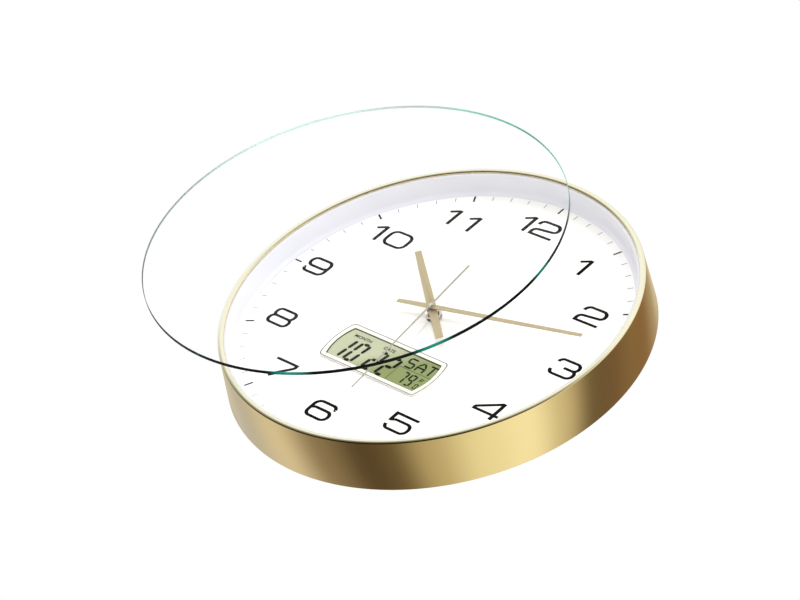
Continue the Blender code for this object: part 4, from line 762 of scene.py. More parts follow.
class WALLCLOCK_OT_ring(bpy.types.Operator):
    """Spins the white ring between glass and dial, with its screw bosses"""

    bl_idname = "wallclock.ring"
    bl_label = "White ring"

    def execute(self, context):
        case = context.scene.clock_case
        low, high = corners_of("reflector_ring")
        top, outer = low.y, high.x - AXIS.x
        inner = RIM_HIGH.x - AXIS.x - case.rim_flare - case.lip_width - case.ledge_width
        foot, skirt_end = DIAL_LOW.y - APART, DIAL_LOW.y + 4.2 * MM
        sole, under = foot + 0.2 * MM, top + case.ring_top
        narrow, hollow = inner - case.wall_draft, case.foot_round
        section = rounded(
            [
                (inner, top, 0.5 * MM), (outer, top, FINE), (outer, skirt_end, FINE),
                (outer - case.ring_skirt, skirt_end, FINE), (outer - case.ring_skirt, under, FINE),
                (inner + case.ring_wall, under, FINE), (narrow + case.ring_wall, sole, FINE),
                (narrow - hollow, sole, 0),
                *(
                    (narrow - hollow * (1 - math.cos(angle)), foot - hollow * (1 - math.sin(angle)), 0)
                    for angle in (math.pi / 2 * step / 8 for step in range(8, -1, -1))
                ),
            ],
            steps=3,
        )
        ring = spun("ring_moulded", section, AXIS, case.steps)
        bosses, bores = [], []
        for index in range(6):
            spot = (polar(outer - case.boss_radius - 0.1 * MM, 30 + 60 * index) - AXIS).xz
            bosses.append(cylinder("boss", case.boss_radius, foot - 6 * MM, high.y, spot, 32))
            bores.append(cylinder("bore", case.screw_radius + APART, high.y - 8.3 * MM, high.y + PAST, spot, 24))
        carve(ring, joined(bosses), "UNION")
        carve(ring, joined(bores))
        smooth()
        settle(ring, "ring", "white_plastic", "clock_case", "reflector_ring")
        return {"FINISHED"}


# Dial

# Centre lines of the numerals in millimetres from their own middles, as (x, z, radius) corners. A line that starts at
# a rounded corner is closed.
SIDE, TOP = 9.3, 7.6
END = TOP + 1.05
NUMERALS = {
    "0": [[(-9.7, -TOP, 5.2), (9.7, -TOP, 5.2), (9.7, TOP, 5.2), (-9.7, TOP, 5.2)]],
    "1": [[(0, -END, 0), (0, END, 0)], [(-7.7, 3.9, 0), (-0.2, 8.1, 0)]],
    "2": [
        [(-SIDE, 3.1, 0), (-SIDE, TOP, 3.9), (SIDE, TOP, 4.6), (SIDE, 0.1, 3.2), (-SIDE, -2.1, 3.4), (-SIDE, -7.2, 0)],
        [(-10.6, -TOP, 0), (10.6, -TOP, 0)],
    ],
    "3": [
        [(-SIDE, 4.1, 0), (-SIDE, TOP, 3.5), (8.9, TOP, 4.0), (8.9, 0.3, 3.3), (-1.6, 0.3, 0)],
        [(2.0, 0.3, 0), (SIDE, 0.3, 3.3), (SIDE, -TOP, 4.2), (-SIDE, -TOP, 3.6), (-SIDE, -3.9, 0)],
    ],
    "4": [
        [(0, -END, 0), (0, END, 0)],
        [(-0.4, 8.0, 0), (-17.2, -2.3, 0.9), (-17.2, -4.1, 0)],
        [(-18.4, -4.2, 0), (4.1, -4.2, 0)],
    ],
    "5": [
        [(-10.6, TOP, 0), (10.4, TOP, 0)],
        [(-SIDE, END, 0), (-SIDE, -0.7, 0)],
        [(-SIDE, 0.2, 0), (-5.6, 1.9, 3.0), (SIDE, 1.9, 4.2), (SIDE, -TOP, 4.2), (-SIDE, -TOP, 3.6), (-SIDE, -4.0, 0)],
    ],
    "6": [
        [
            (8.9, 4.5, 0), (8.9, TOP, 3.6), (-SIDE, TOP, 4.6), (-SIDE, -TOP, 4.3), (SIDE, -TOP, 4.3), (SIDE, 1.0, 4.0),
            (-6.2, 1.0, 2.0), (-SIDE, -0.6, 0),
        ],
    ],
    "7": [[(-10.6, TOP, 0), (10.6, TOP, 0)], [(SIDE, TOP, 0), (SIDE, 4.8, 3.0), (-3.9, -END, 0)]],
    "8": [
        [(-8.8, 0.2, 3.0), (8.8, 0.2, 3.0), (8.8, TOP, 3.4), (-8.8, TOP, 3.4)],
        [(-SIDE, -TOP, 3.8), (SIDE, -TOP, 3.8), (SIDE, 0.15, 3.4), (-SIDE, 0.15, 3.4)],
    ],
}
# The nine is the six turned half round
NUMERALS["9"] = [[(-x, -z, radius) for x, z, radius in line] for line in NUMERALS["6"]]

NUMERAL_PLACES = (
    ("1", -10.5, 113.3), ("2", 5.0, 113.3), ("1", 58.1, 93.5), ("2", 96.8, 54.4), ("3", 116.8, 2.9),
    ("4", 105.5, -52.9), ("5", 55.9, -94.5), ("6", -2.0, -111.6), ("7", -58.8, -94.7), ("8", -98.5, -53.6),
    ("9", -117.4, 1.9), ("1", -102.5, 53.4), ("0", -85.4, 53.4), ("1", -66.0, 93.4), ("1", -47.0, 93.4),
)


class WALLCLOCK_OT_numerals(bpy.types.Operator):
    """Draws the numerals' centre lines, gives them round wires and presses these flat to printed strokes"""

    bl_idname = "wallclock.numerals"
    bl_label = "Numerals"

    def execute(self, context):
        sizes = context.scene.clock_dial
        wire = (sizes.upright_stroke + sizes.level_stroke) / 2
        wide, tall = sizes.upright_stroke / wire, sizes.level_stroke / wire
        start_piece("dial_numerals")
        for figure, x, z in NUMERAL_PLACES:
            for corners in NUMERALS[figure]:
                closed = corners[0][2] > 0
                points = [((x + a) * MM / wide, 0, (z + b) * MM / tall) for a, b in rounded(corners, closed)]
                draw_line(points + points[:1] if closed else points)
        select_mesh()
        bpy.ops.mesh.remove_doubles(threshold=0.001 * MM)
        bpy.ops.object.mode_set(mode="OBJECT")
        bpy.ops.object.convert(target="CURVE")
        curve = bpy.context.object.data
        curve.bevel_depth, curve.bevel_resolution, curve.use_fill_caps = wire / 2, 3, True
        bpy.ops.object.convert(target="MESH")
        piece = named("dial_numerals")
        bpy.ops.object.mode_set(mode="EDIT")
        select_mesh()
        bpy.ops.transform.resize(value=(wide, sizes.ink / wire, tall), center_override=(0, 0, 0))
        bpy.ops.transform.translate(value=AXIS + Vector((0, DIAL_LOW.y, 0)))
        leave_edit(60)
        settle(piece, "ink", "white_print", "clock_case")
        return {"FINISHED"}


class WALLCLOCK_OT_ticks(bpy.types.Operator):
    """Draws one hour tick and one group of minute ticks and repeats them round the dial"""

    bl_idname = "wallclock.ticks"
    bl_label = "Hour and minute ticks"

    def execute(self, context):
        sizes = context.scene.clock_dial
        hours = (sizes.tick_circle, sizes.hour_tick_length, sizes.hour_tick_width)
        minutes = (sizes.minute_tick_outer, sizes.minute_tick_length, sizes.minute_tick_width)
        for name, turns, (outer, reach, width), kind in (
            ("dial_hour_ticks", (0,), hours, "ink"),
            ("dial_minute_ticks", (6, 12, 18, 24), minutes, "pale ink"),
        ):
            half = math.degrees(width / 2 / outer)
            inner = half * outer / (outer - reach)
            corners = ((outer, -half), (outer, half), (outer - reach, inner), (outer - reach, -inner))
            piece = start_piece(name)
            for turn in turns:
                draw_face([polar(radius, turn + side, y=DIAL_LOW.y - sizes.ink) for radius, side in corners])
            thicken(sizes.ink)
            select_mesh()
            bpy.ops.mesh.spin(steps=11, dupli=True, angle=math.tau * 11 / 12, center=AXIS, axis=(0, 1, 0))
            leave_edit()
            settle(piece, kind, "white_print", "clock_case")
        return {"FINISHED"}


# Calendar window


def window_outline(sizes, inset, drop):
    """Outline of the window's frame drawn in from its edge: straight long sides, bowed short sides."""
    width, height = sizes.width / 2 - inset, sizes.height / 2 - inset
    corner = max(sizes.corner - inset, sizes.corner / 4)
    right = []
    for step in range(13):
        share = 1 - step / 6
        right.append((width - sizes.bulge * share * share, drop + height * share, corner if step in (0, 12) else 0))
    return rounded(right + [(-x, 2 * drop - z, radius) for x, z, radius in right])


class WALLCLOCK_OT_window(bpy.types.Operator):
    """Builds the calendar window's frame: a flange on the dial, a neck through it and a thin lip over the display"""

    bl_idname = "wallclock.window"
    bl_label = "Calendar window frame"

    def execute(self, context):
        sizes = context.scene.clock_calendar
        low, high = corners_of("lcd_bezel")
        drop = middle_of("lcd_bezel")[1]
        piece = prism("window_frame", window_outline(sizes, 0, drop), low.y, low.y + sizes.face)
        for name, inset, front, back, operation in (
            ("neck", sizes.flange, low.y + sizes.face / 2, high.y, "UNION"),
            ("opening", sizes.border, low.y - PAST, high.y + PAST, "DIFFERENCE"),
            ("room", sizes.flange + sizes.neck_wall, low.y + sizes.lip, high.y + PAST, "DIFFERENCE"),
        ):
            carve(piece, prism(name, window_outline(sizes, inset, drop), front, back), operation)
        soften_edges(piece, sizes.bead, 3)
        settle(piece, "frame", "white_plastic", "clock_case", "lcd_bezel")
        # The second line is painted shadow: a dark sheet on the display's front along the frame's inner edge, where the
        # recess throws shade
        for name, inset, front, kind, slot in (
            ("window_outline", sizes.bead, low.y, "outline", "white_plastic"),
            ("display_outline", sizes.border, corners_of("lcd_panel")[0].y, "figures", "lcd_glass"),
        ):
            line = prism(name, window_outline(sizes, inset, drop), front - sizes.ink, front)
            room = window_outline(sizes, inset + sizes.outline, drop)
            carve(line, prism("room", room, front - PAST, front + PAST))
            settle(line, kind, slot, "clock_case")
        return {"FINISHED"}


def bar_outline(start, end, width):
    """Pointed bar of a display figure between two (x, z) points."""
    start, end = Vector(start), Vector(end)
    along = (end - start).normalized()
    across = Vector((-along.y, along.x)) * width / 2
    tip = along * width / 2
    return [start, start + tip + across, end - tip + across, end, end - tip - across, start + tip - across]


SEGMENTS = {"0": "abcdef", "1": "bc", "2": "abged", "7": "abc", "9": "abcdfg"}

# Bars of SAT as (x, z, x, z) in millimetres from the clock's axis
DAY_BARS = (
    (17.1, -40.7, 23.5, -40.7), (17.1, -40.7, 17.1, -45.0), (17.1, -45.0, 23.5, -45.0), (23.5, -45.0, 23.5, -49.4),
    (17.1, -49.4, 23.5, -49.4),
    (26.6, -49.7, 26.6, -44.4), (26.6, -44.6, 29.6, -40.6), (30.0, -40.6, 33.0, -44.6), (33.0, -44.4, 33.0, -49.7),
    (26.9, -45.8, 32.7, -45.8),
    (34.8, -40.5, 42.7, -40.5), (38.7, -41.0, 38.7, -49.8),
)

# F for Fahrenheit, the decimal point and the two lines between the fields, each with its width
SMALL_BARS = (
    (37.7, -54.0, 40.6, -54.0, 0.7), (37.9, -53.9, 37.9, -57.3, 0.7), (37.9, -55.5, 40.2, -55.5, 0.7),
    (35.1, -64.1, 36.1, -64.1, 0.9), (14.4, -50.9, 45.0, -50.9, 0.3), (14.4, -50.9, 14.4, -66.8, 0.3),
)


def figure_bars(figure, x, top, width, height, bar, lean, gap):
    """Bars of a seven segment figure, as (start, end, width) in millimetres. x is its left side at the foot."""
    left, right = x + bar / 2, x + width - bar / 2
    high, low = top - bar / 2, top - height + bar / 2
    middle = (high + low) / 2
    # Upright bars run past the corners a little, and level bars stop short of them
    past = bar / 4
    corners = {
        "a": ((left + past, high), (right - past, high)), "b": ((right, high + past), (right, middle)),
        "c": ((right, middle), (right, low - past)), "d": ((left + past, low), (right - past, low)),
        "e": ((left, middle), (left, low - past)), "f": ((left, high + past), (left, middle)),
        "g": ((left, middle), (right, middle)),
    }
    bars = []
    for letter in SEGMENTS[figure]:
        start, end = (Vector(point) for point in corners[letter])
        along = (end - start).normalized() * gap
        ends = [point + Vector(((point.y - (top - height)) * lean, 0)) for point in (start + along, end - along)]
        bars.append((*ends, bar))
    return bars


class WALLCLOCK_OT_display(bpy.types.Operator):
    """Draws the display's figures and captions on its front"""

    bl_idname = "wallclock.display"
    bl_label = "Display figures"

    def execute(self, context):
        sizes = context.scene.clock_calendar
        front = corners_of("lcd_panel")[0].y
        segment = sizes.segment / MM
        thin = segment * 0.55
        bars = []
        for figure, x in (("1", -40.9), ("0", -28.3), ("2", -10.7), ("2", 1.7)):
            bars += figure_bars(figure, x, -45.2, 9.8, 20.9, segment, sizes.lean, 0.25)
        for figure, x in (("7", 21.4), ("9", 28.6)):
            bars += figure_bars(figure, x, -52.8, 5.8, 11.8, thin, 0.04, 0.15)
        bars += figure_bars("0", 37.6, -58.9, 3.0, 5.8, segment * 0.32, 0, 0.1)
        bars += [(bar[:2], bar[2:], thin) for bar in DAY_BARS]
        bars += [(bar[:2], bar[2:4], bar[4]) for bar in SMALL_BARS]
        piece = start_piece("display_figures")
        for bar in bars:
            draw_face([(AXIS.x + x * MM, front - sizes.ink, AXIS.z + z * MM) for x, z in bar_outline(*bar)])
        thicken(sizes.ink)
        leave_edit()
        settle(piece, "figures", "lcd_glass", "clock_case")
        foot, tall = -43.7 * MM, 2.8 * MM
        for words, left, right in (("MONTH", -36.0 * MM, -20.1 * MM), ("DATE", -7.8 * MM, 2.4 * MM)):
            clear()
            bpy.ops.object.text_add(location=(0, 0, 0))
            text = bpy.context.object.data
            text.body, text.size, text.offset = words, 3 * MM, 0.07 * MM
            text.extrude, text.resolution_u = sizes.ink / 2, 3
            bpy.ops.object.convert(target="MESH")
            caption = named(f"display_caption_{words.lower()}")
            spots = [vertex.co for vertex in caption.data.vertices]
            low, high = ([pick(spot[side] for spot in spots) for side in (0, 1)] for pick in (min, max))
            stretch = ((right - left) / (high[0] - low[0]), tall / (high[1] - low[1]))
            caption.rotation_euler = (math.pi / 2, 0, 0)
            caption.scale = (*stretch, 1)
            caption.location = AXIS + Vector(
                (left - low[0] * stretch[0], front - sizes.ink / 2, foot - low[1] * stretch[1])
            )
            bpy.ops.object.transform_apply(location=True, rotation=True, scale=True)
            settle(caption, "figures", "lcd_glass", "clock_case")
        return {"FINISHED"}


# Hands


class WALLCLOCK_OT_hands(bpy.types.Operator):
    """Draws the three hands, with softened edges and the holes for their pipes"""

    bl_idname = "wallclock.hands"
    bl_label = "Hands"

    def execute(self, context):
        sizes = context.scene.clock_hands
        hub = 1.8 * MM
        for word, body, turn, reach, back, bore in (
            ("hour", "hour", 308.8, 69.5, 34.0, 1.8),
            ("minute", "minute", 76.4, 116.0, 27.4, 0.75),
            ("second", "second_train", 172.9, 92.5, 46.0, 0),
        ):
            low, high = corners_of(f"{word}_hand")
            tip, middle, tail = (getattr(sizes, f"{word}_{part}") / 2 for part in ("tip", "width", "tail"))
            along, across = polar(1, turn) - AXIS, polar(1, turn + 90) - AXIS
            half = [(-back * MM, tail), (0, middle), (reach * MM, tip)]
            outline = half + [(u, -v) for u, v in reversed(half)]
            hand = start_piece(f"{word}_hand_stamped")
            draw_face([AXIS + along * u + across * v + Vector((0, low.y, 0)) for u, v in outline])
            thicken(high.y - low.y)
            leave_edit()
            if bore:
                carve(hand, cylinder("bore", bore * MM, low.y - PAST, high.y + PAST))
            else:
                carve(hand, cylinder("hub", hub, low.y, high.y - 0.05 * MM), "UNION")
            soften_edges(hand, sizes.edge, 2, 50)
            settle(hand, ("hands" if bore else "second hand", "chrome"), "hand_gold", body, f"{word}_hand")
            # The second hand's hub is plated
            for face in hand.data.polygons:
                face.material_index = int(not bore and (face.center - AXIS).xz.length < hub + 0.05 * MM)
        return {"FINISHED"}


class WALLCLOCK_OT_hub(bpy.types.Operator):
    """Turns the collets, the washer and the nut at the middle of the dial"""

    bl_idname = "wallclock.hub"
    bl_label = "Hub"

    def execute(self, context):
        for node, body, bore, kind, slot in (
            ("hour_collet", "hour", 2.85 * MM, "chrome", "chrome"),
            ("minute_collet", "minute", 1.8 * MM, "chrome", "chrome"),
            ("second_collet", "second_train", 0.75 * MM, "chrome", "chrome"),
            ("movement_washer", "clock_case", HUB_HOLE, "zinc", "zinc_steel"),
        ):
            low, high = corners_of(node)
            outer = max(high.z - low.z, high.x - low.x) / 2
            section = box_outline(bore, low.y, outer, high.y, 0.12 * MM, 3)
            settle(spun(f"{node}_turned", section, AXIS, 64), kind, slot, body, node)
        low, high = corners_of("movement_nut")
        flats = 9.6 * MM
        corner = flats / 2 / math.cos(math.pi / 6)
        hexagon = [(polar(corner, 30 + 60 * step) - AXIS).xz for step in range(6)]
        nut = prism("movement_nut_milled", hexagon, low.y, high.y)
        crown = [
            (0, low.y - PAST), (flats / 2 - 0.6 * MM, low.y - PAST / 2), (corner + PAST, low.y + 1.1 * MM),
            (corner + PAST, high.y + PAST), (0, high.y + PAST),
        ]
        carve(nut, spun("crown", crown, AXIS, 96, closed=False), "INTERSECT")
        carve(nut, cylinder("bore", HUB_HOLE, low.y - PAST, high.y + PAST, steps=64))
        soften_edges(nut, 0.12 * MM, 2, 25)
        settle(nut, "chrome", "chrome", "clock_case", "movement_nut")
        return {"FINISHED"}


# Back

BACK_SCREWS = [f"back_screw_{index}" for index in range(1, 7)]
HANGER_SCREWS = ["hanger_screw_left", "hanger_screw_right"]
HOUSING_SCREWS = ["housing_screw_left", "housing_screw_right"]
BUTTONS = ["button_set", "button_up", "button_down"]


class WALLCLOCK_OT_cover(bpy.types.Operator):
    """Spins the back cover and gives it its ribs, openings and screw holes"""

    bl_idname = "wallclock.cover"
    bl_label = "Back cover"

    def execute(self, context):
        case = context.scene.clock_case
        low, high = corners_of("back_cover")
        rear = high.x - AXIS.x
        outer = RIM_HIGH.x - AXIS.x - case.rim_curl - case.rim_wall - APART
        wall, land, flange = 1.2 * MM, 1.1 * MM, -1.2 * MM
        panel_back, panel_front = -2.0 * MM, -3.8 * MM
        section = rounded(
            [
                (0, panel_front, 0), (outer - wall, panel_front, FINE), (outer - wall, low.y, FINE),
                (outer, low.y, FINE), (outer, flange, 0), (rear, flange, FINE), (rear, 0, 0.4 * MM),
                (outer - land, 0, 0.3 * MM), (outer - land, panel_back, 0.4 * MM), (0, panel_back, 0),
            ],
            closed=False, steps=3,
        )
        cover = spun("back_cover_moulded", section, AXIS, case.steps, closed=False)
        ribs = []
        for turn in (45, 75, 105, 255, 285, 315):
            along, across = polar(1, turn) - AXIS, polar(1, turn + 90) - AXIS
            outline = box_outline(95 * MM, -0.8 * MM, outer - wall / 2, 0.8 * MM)
            corners = [(along * u + across * v).xz for u, v in outline]
            ribs.append(prism("rib", corners, panel_front - 3 * MM, panel_front + 0.9 * MM))
        carve(cover, joined(ribs), "UNION")
        reach = panel_front - PAST, panel_back + PAST
        movement_low, movement_high = corners_of("movement_case")
        side = (movement_high.x - movement_low.x) / 2 + 0.6 * MM
        drop, nail = middle_of("lcd_board")[1], -AXIS.z
        wide, tall = 49.6 * MM, 21.6 * MM
        tools = [
            prism("opening", box_outline(*sides, 3 * MM), *reach)
            for sides in (
                (-side, -side, side, side),
                (-wide, drop - tall, wide, drop + tall),
                (-7.8 * MM, nail - 17.8 * MM, 7.8 * MM, nail + 5.4 * MM),
            )
        ]
        tools += [cylinder("hole", SCREW_HOLE, *reach, middle_of(node), 32) for node in BACK_SCREWS + HANGER_SCREWS]
        carve(cover, joined(tools))
        smooth()
        settle(cover, "cover", "black_plastic", "clock_case", "back_cover")
        return {"FINISHED"}


def at_nodes(first, nodes, ending):
    """Each node with its piece: the first node's, and copies of it at the other nodes' places."""
    for node in nodes:
        shift = Vector(middle_of(node)) - Vector(middle_of(nodes[0]))
        yield node, first if node == nodes[0] else copied(first, f"{node}_{ending}", (shift.x, 0, shift.y))


def screw(name, node, head_back):
    """A self tapping pan head screw with a cross recess, where its node is. The head faces the wall or the dial."""
    low, high = corners_of(node)
    way = 1 if head_back else -1
    head, tip = (high.y, low.y) if head_back else (low.y, high.y)
    radius, core, head_radius, height = 1.1 * MM, 0.8 * MM, 2.4 * MM, 1.3 * MM
    # Thread in millimetres: where it starts behind the tip, and its pitch
    thread_start, pitch = 0.7, 0.8
    under = head - way * height
    section = [(0, tip), (core * 0.4, tip + way * 0.3 * MM)]
    for turn in range(int((abs(under - tip) - 1.4 * MM) / (pitch * MM))):
        y = tip + way * (thread_start + pitch * turn) * MM
        section += [(core, y), (radius, y + way * 0.25 * MM), (core, y + way * 0.5 * MM)]
    section += [(core, under), (head_radius, under), (head_radius, under + way * height * 0.35)]
    for angle in (math.pi / 2 * step / 6 for step in range(1, 6)):
        across, up = 0.55 + 0.45 * math.cos(angle), 0.35 + 0.65 * math.sin(angle)
        section.append((head_radius * across, under + way * height * up))
    section += [(head_radius * 0.5, head), (0, head)]
    x, z = middle_of(node)
    piece = spun(name, section, AXIS + Vector((x, 0, z)), 40, closed=False)
    for wide, tall in ((1.3 * MM, 0.3 * MM), (0.3 * MM, 1.3 * MM)):
        slot = [(x - wide, z - tall), (x + wide, z - tall), (x + wide, z + tall), (x - wide, z + tall)]
        carve(piece, prism("slot", slot, head - way * 0.8 * MM, head + way * PAST))
    smooth()
    return piece


class WALLCLOCK_OT_screws(bpy.types.Operator):
    """Turns one screw of each kind with its cross recess, and copies it to the others' places"""

    bl_idname = "wallclock.screws"
    bl_label = "Screws"

    def execute(self, context):
        for nodes, head_back in ((BACK_SCREWS, True), (HANGER_SCREWS, False), (HOUSING_SCREWS, True)):
            for node, piece in at_nodes(screw(f"{nodes[0]}_turned", nodes[0], head_back), nodes, "turned"):
                settle(piece, "zinc", "zinc_steel", "clock_case", node)
        return {"FINISHED"}


class WALLCLOCK_OT_hanger(bpy.types.Operator):
    """Cuts the steel hanger with its keyhole"""

    bl_idname = "wallclock.hanger"
    bl_label = "Hanger"

    def execute(self, context):
        low, high = corners_of("hanger_plate")
        sides = (low.x - AXIS.x, low.z - AXIS.z, high.x - AXIS.x, high.z - AXIS.z)
        plate = prism("hanger_plate_stamped", box_outline(*sides, 2.5 * MM), low.y, high.y)
        reach = low.y - PAST, high.y + PAST
        nail, shank = -AXIS.z, 2.4 * MM
        slot = cylinder("slot", shank, *reach, (0, nail))
        carve(slot, prism("neck", box_outline(-shank, nail - 8 * MM, shank, nail), *reach), "UNION")
        carve(slot, cylinder("hole", 4.8 * MM, *reach, (0, nail - 10 * MM), 64), "UNION")
        carve(plate, slot)
        for node in HANGER_SCREWS:
            carve(plate, cylinder("hole", SCREW_HOLE, *reach, middle_of(node), 32))
        soften_edges(plate, 0.15 * MM)
        settle(plate, "zinc", "zinc_steel", "clock_case", "hanger_plate")
        return {"FINISHED"}


class WALLCLOCK_OT_buttons(bpy.types.Operator):
    """Turns one push button with a dished face, and copies it to the other two places"""

    bl_idname = "wallclock.buttons"
    bl_label = "Push buttons"

    def execute(self, context):
        low, high = corners_of("button_set")
        radius, collar, collar_back = 3.0 * MM, (high.x - low.x) / 2, low.y + 0.8 * MM
        dish = 0.72
        section = rounded(
            [
                (0, low.y, 0), (collar, low.y, 0.15 * MM), (collar, collar_back, 0.15 * MM), (radius, collar_back, 0),
                (radius, high.y, 0.45 * MM), (radius * dish, high.y, 0),
            ],
            closed=False, steps=4,
        )
        section += [(radius * share, high.y - 0.35 * MM * (1 - (share / dish) ** 2)) for share in (0.55, 0.35, 0.15, 0)]
        x, z = middle_of("button_set")
        first = spun("button_set_moulded", section, AXIS + Vector((x, 0, z)), 64, closed=False)
        for node, piece in at_nodes(first, BUTTONS, "moulded"):
            settle(piece, "grey", "grey_plastic", f"{node.removeprefix('button_')}_button", node)
        return {"FINISHED"}


class WALLCLOCK_OT_mouldings(bpy.types.Operator):
    """Softens the edges of the housings, the movement's cover and the knob"""

    bl_idname = "wallclock.mouldings"
    bl_label = "Housings and small parts"

    def execute(self, context):
        for node, width, kind, slot, body in (
            ("lcd_housing", 0.25 * MM, "cover", "black_plastic", "clock_case"),
            ("movement_case", 0.2 * MM, "cover", "black_plastic", "clock_case"),
            ("movement_cover", 0.2 * MM, "cover", "black_plastic", "clock_case"),
            ("setting_knob", 0.12 * MM, "grey", "gear_plastic", "motion"),
        ):
            choose(frame["nodes"][node])
            bpy.ops.object.duplicate(linked=False)
            piece = named(f"{node}_finished")
            bpy.ops.object.transform_apply(location=True, rotation=True, scale=True)
            bpy.ops.object.mode_set(mode="EDIT")
            select_mesh()
            bpy.ops.mesh.remove_doubles(threshold=WELD)
            bpy.ops.mesh.dissolve_limited(angle_limit=math.radians(1))
            bpy.ops.object.mode_set(mode="OBJECT")
            soften_edges(piece, width)
            settle(piece, kind, slot, body, node)
        return {"FINISHED"}


class WALLCLOCK_OT_battery(bpy.types.Operator):
    """Spins the dry cell with its crimped ends and plus cap"""

    bl_idname = "wallclock.battery"
    bl_label = "Battery"

    def execute(self, context):
        low, high = corners_of("battery")
        radius, nub = (high.z - low.z) / 2, 2.7 * MM
        start, crimp, end = low.x, low.x + 0.3 * MM, high.x - 1.0 * MM
        section = rounded(
            [
                (0, start, 0), (radius * 0.55, start, 0), (radius * 0.62, crimp, 0), (radius * 0.9, crimp, 0),
                (radius * 0.93, start, 0.1 * MM), (radius, start, 0.4 * MM), (radius, end, 0.5 * MM),
                (radius * 0.9, end, 0.1 * MM), (radius * 0.86, end - 0.5 * MM, 0.1 * MM),
                (nub * 1.3, end - 0.5 * MM, 0.1 * MM), (nub, end, 0), (nub, high.x, 0.3 * MM), (0, high.x, 0),
            ],
            closed=False, steps=4,
        )
        piece = spun("battery_sleeved", section, (low + high) / 2, 72, closed=False, axis=(1, 0, 0))
        settle(piece, "sleeve", "battery_sleeve", "clock_case", "battery")
        return {"FINISHED"}


# Pieces whose packed shape is already right
KEPT_FINISHES = {
    "dial": ["dial_plate"],
    "display": ["lcd_panel"],
    "zebra": ["zebra_strip"],
    "board": ["lcd_board", "circuit_board"],
    "grey": ["tact_switch_set", "tact_switch_up", "tact_switch_down"],
    "zinc": ["coin_cell"],
    "spring": ["cell_clip", "contact_positive", "contact_negative"],
    "rubber": ["rubber_washer"],
    "magnet": ["rotor"],
    "acetal": [
        "intermediate_wheel", "second_wheel", "third_wheel", "centre_wheel", "minute_pipe", "motion_wheel",
        "hour_wheel",
    ],
    "core": ["stator"],
    "winding": ["coil"],
}


class WALLCLOCK_OT_kept(bpy.types.Operator):
    """Gives the packed pieces that stay as they are their finishes"""

    bl_idname = "wallclock.kept"
    bl_label = "Inner pieces"

    def execute(self, context):
        for kind, nodes in KEPT_FINISHES.items():
            for node in nodes:
                for place in frame["nodes"][node].material_slots:
                    place.material = finish(kind)
        return {"FINISHED"}


# Stage


def power(name, description, watts):
    return FloatProperty(name=name, description=description, default=watts, unit="POWER")


class ClockStageSettings(bpy.types.PropertyGroup):
    """Light, floor and camera"""

    daylight: FloatProperty(
        name="Daylight", description="Strength of the studio's own light", default=1.15, subtype="FACTOR"
    )
    lamp_power: power("Lamp power", "Lamp straight in front", 7.5)
    lamp_size: length("Lamp size", "Width of the lamp in front", 260)
    fill_power: power("Fill power", "Mean of the four large fill lamps", 11.5)
    fill_size: length("Fill size", "Width of a fill lamp", 1600)
    floor_height: length("Floor height", "Height of the floor", -1500)
    focal_length: FloatProperty(name="Focal length", description="Camera lens", default=118.26, unit="CAMERA")


def studio_world(daylight):
    """White behind the clock, and a studio that it mirrors: bright ceiling, dark front, light and dark walls behind."""
    world = bpy.data.worlds.new("soft_studio")
    bpy.context.scene.world = world
    world.use_nodes = True
    tree = world.node_tree
    tree.nodes.clear()
    way = add(tree, "ShaderNodeTexCoord").outputs["Generated"]
    walls = [
        (-180, "#54473B"), (-156, "#8C8078"), (-128, "#DAD5D8"), (-96, "#BDBDC8"), (-60, "#CFCAB4"), (-38, "#D6D0B0"),
        (-13, "#A79580"), (4, "#876A4E"), (22, "#856E57"), (44, "#6F5B4D"), (58, "#66584A"), (77, "#CFC8BC"),
        (96, "#FFFFFF"), (122, "#EEEDE4"), (146, "#BEB4A2"), (166, "#65584A"), (180, "#54473B"),
    ]
    parts, _, back = colours_round(tree, way, walls, "EASE")
    slope = add(
        tree, "ShaderNodeMath", {0: parts.outputs["Y"], 1: 0.9, 2: parts.outputs["Z"]}, operation="MULTIPLY_ADD"
    )
    rise = add(tree, "ShaderNodeMapRange", {"Value": slope, "From Min": -1.0, "From Max": 1.0})
    ahead = add(tree, "ShaderNodeValToRGB", {"Fac": rise})
    heights = [
        (-1, "#1E1A10"), (-0.74, "#3A3222"), (-0.56, "#5F5A4C"), (-0.4, "#8C8778"), (-0.25, "#BEBCB0"),
        (-0.07, "#FFFFFF"), (0.3, "#F4F4EC"), (0.7, "#FFFFFF"),
    ]
    set_stops(ahead, heights, -1, 1, "EASE")
    behind = add(
        tree, "ShaderNodeMapRange", {"Value": parts.outputs["Y"], "From Min": -0.1, "From Max": 0.3},
        interpolation_type="SMOOTHSTEP",
    )
    shine = add(tree, "ShaderNodeMix", {0: behind, 6: ahead, 7: back}, data_type="RGBA")
    studio = add(tree, "ShaderNodeBackground", {"Color": shine, "Strength": daylight})
    white = add(tree, "ShaderNodeBackground", {"Color": (1, 1, 1, 1), "Strength": 1.0})
    ray = add(tree, "ShaderNodeLightPath").outputs
    seen = add(tree, "ShaderNodeMath", {0: ray["Is Camera Ray"], 1: ray["Is Transmission Ray"]}, operation="MAXIMUM")
    both = add(tree, "ShaderNodeMixShader", {0: seen, 1: studio, 2: white})
    add(tree, "ShaderNodeOutputWorld", {"Surface": both})


def soft_lamp(name, towards, distance, energy, size):
    """Square lamp that shines on the clock and isn't mirrored in it."""
    clear()
    way = Vector(towards).normalized()
    bpy.ops.object.light_add(type="AREA", location=AXIS + way * distance)
    lamp = bpy.context.object
    lamp.name = name
    lamp.data.energy, lamp.data.size = energy, size
    lamp.rotation_euler = way.to_track_quat("Z", "Y").to_euler()
    lamp.visible_glossy = lamp.visible_transmission = False


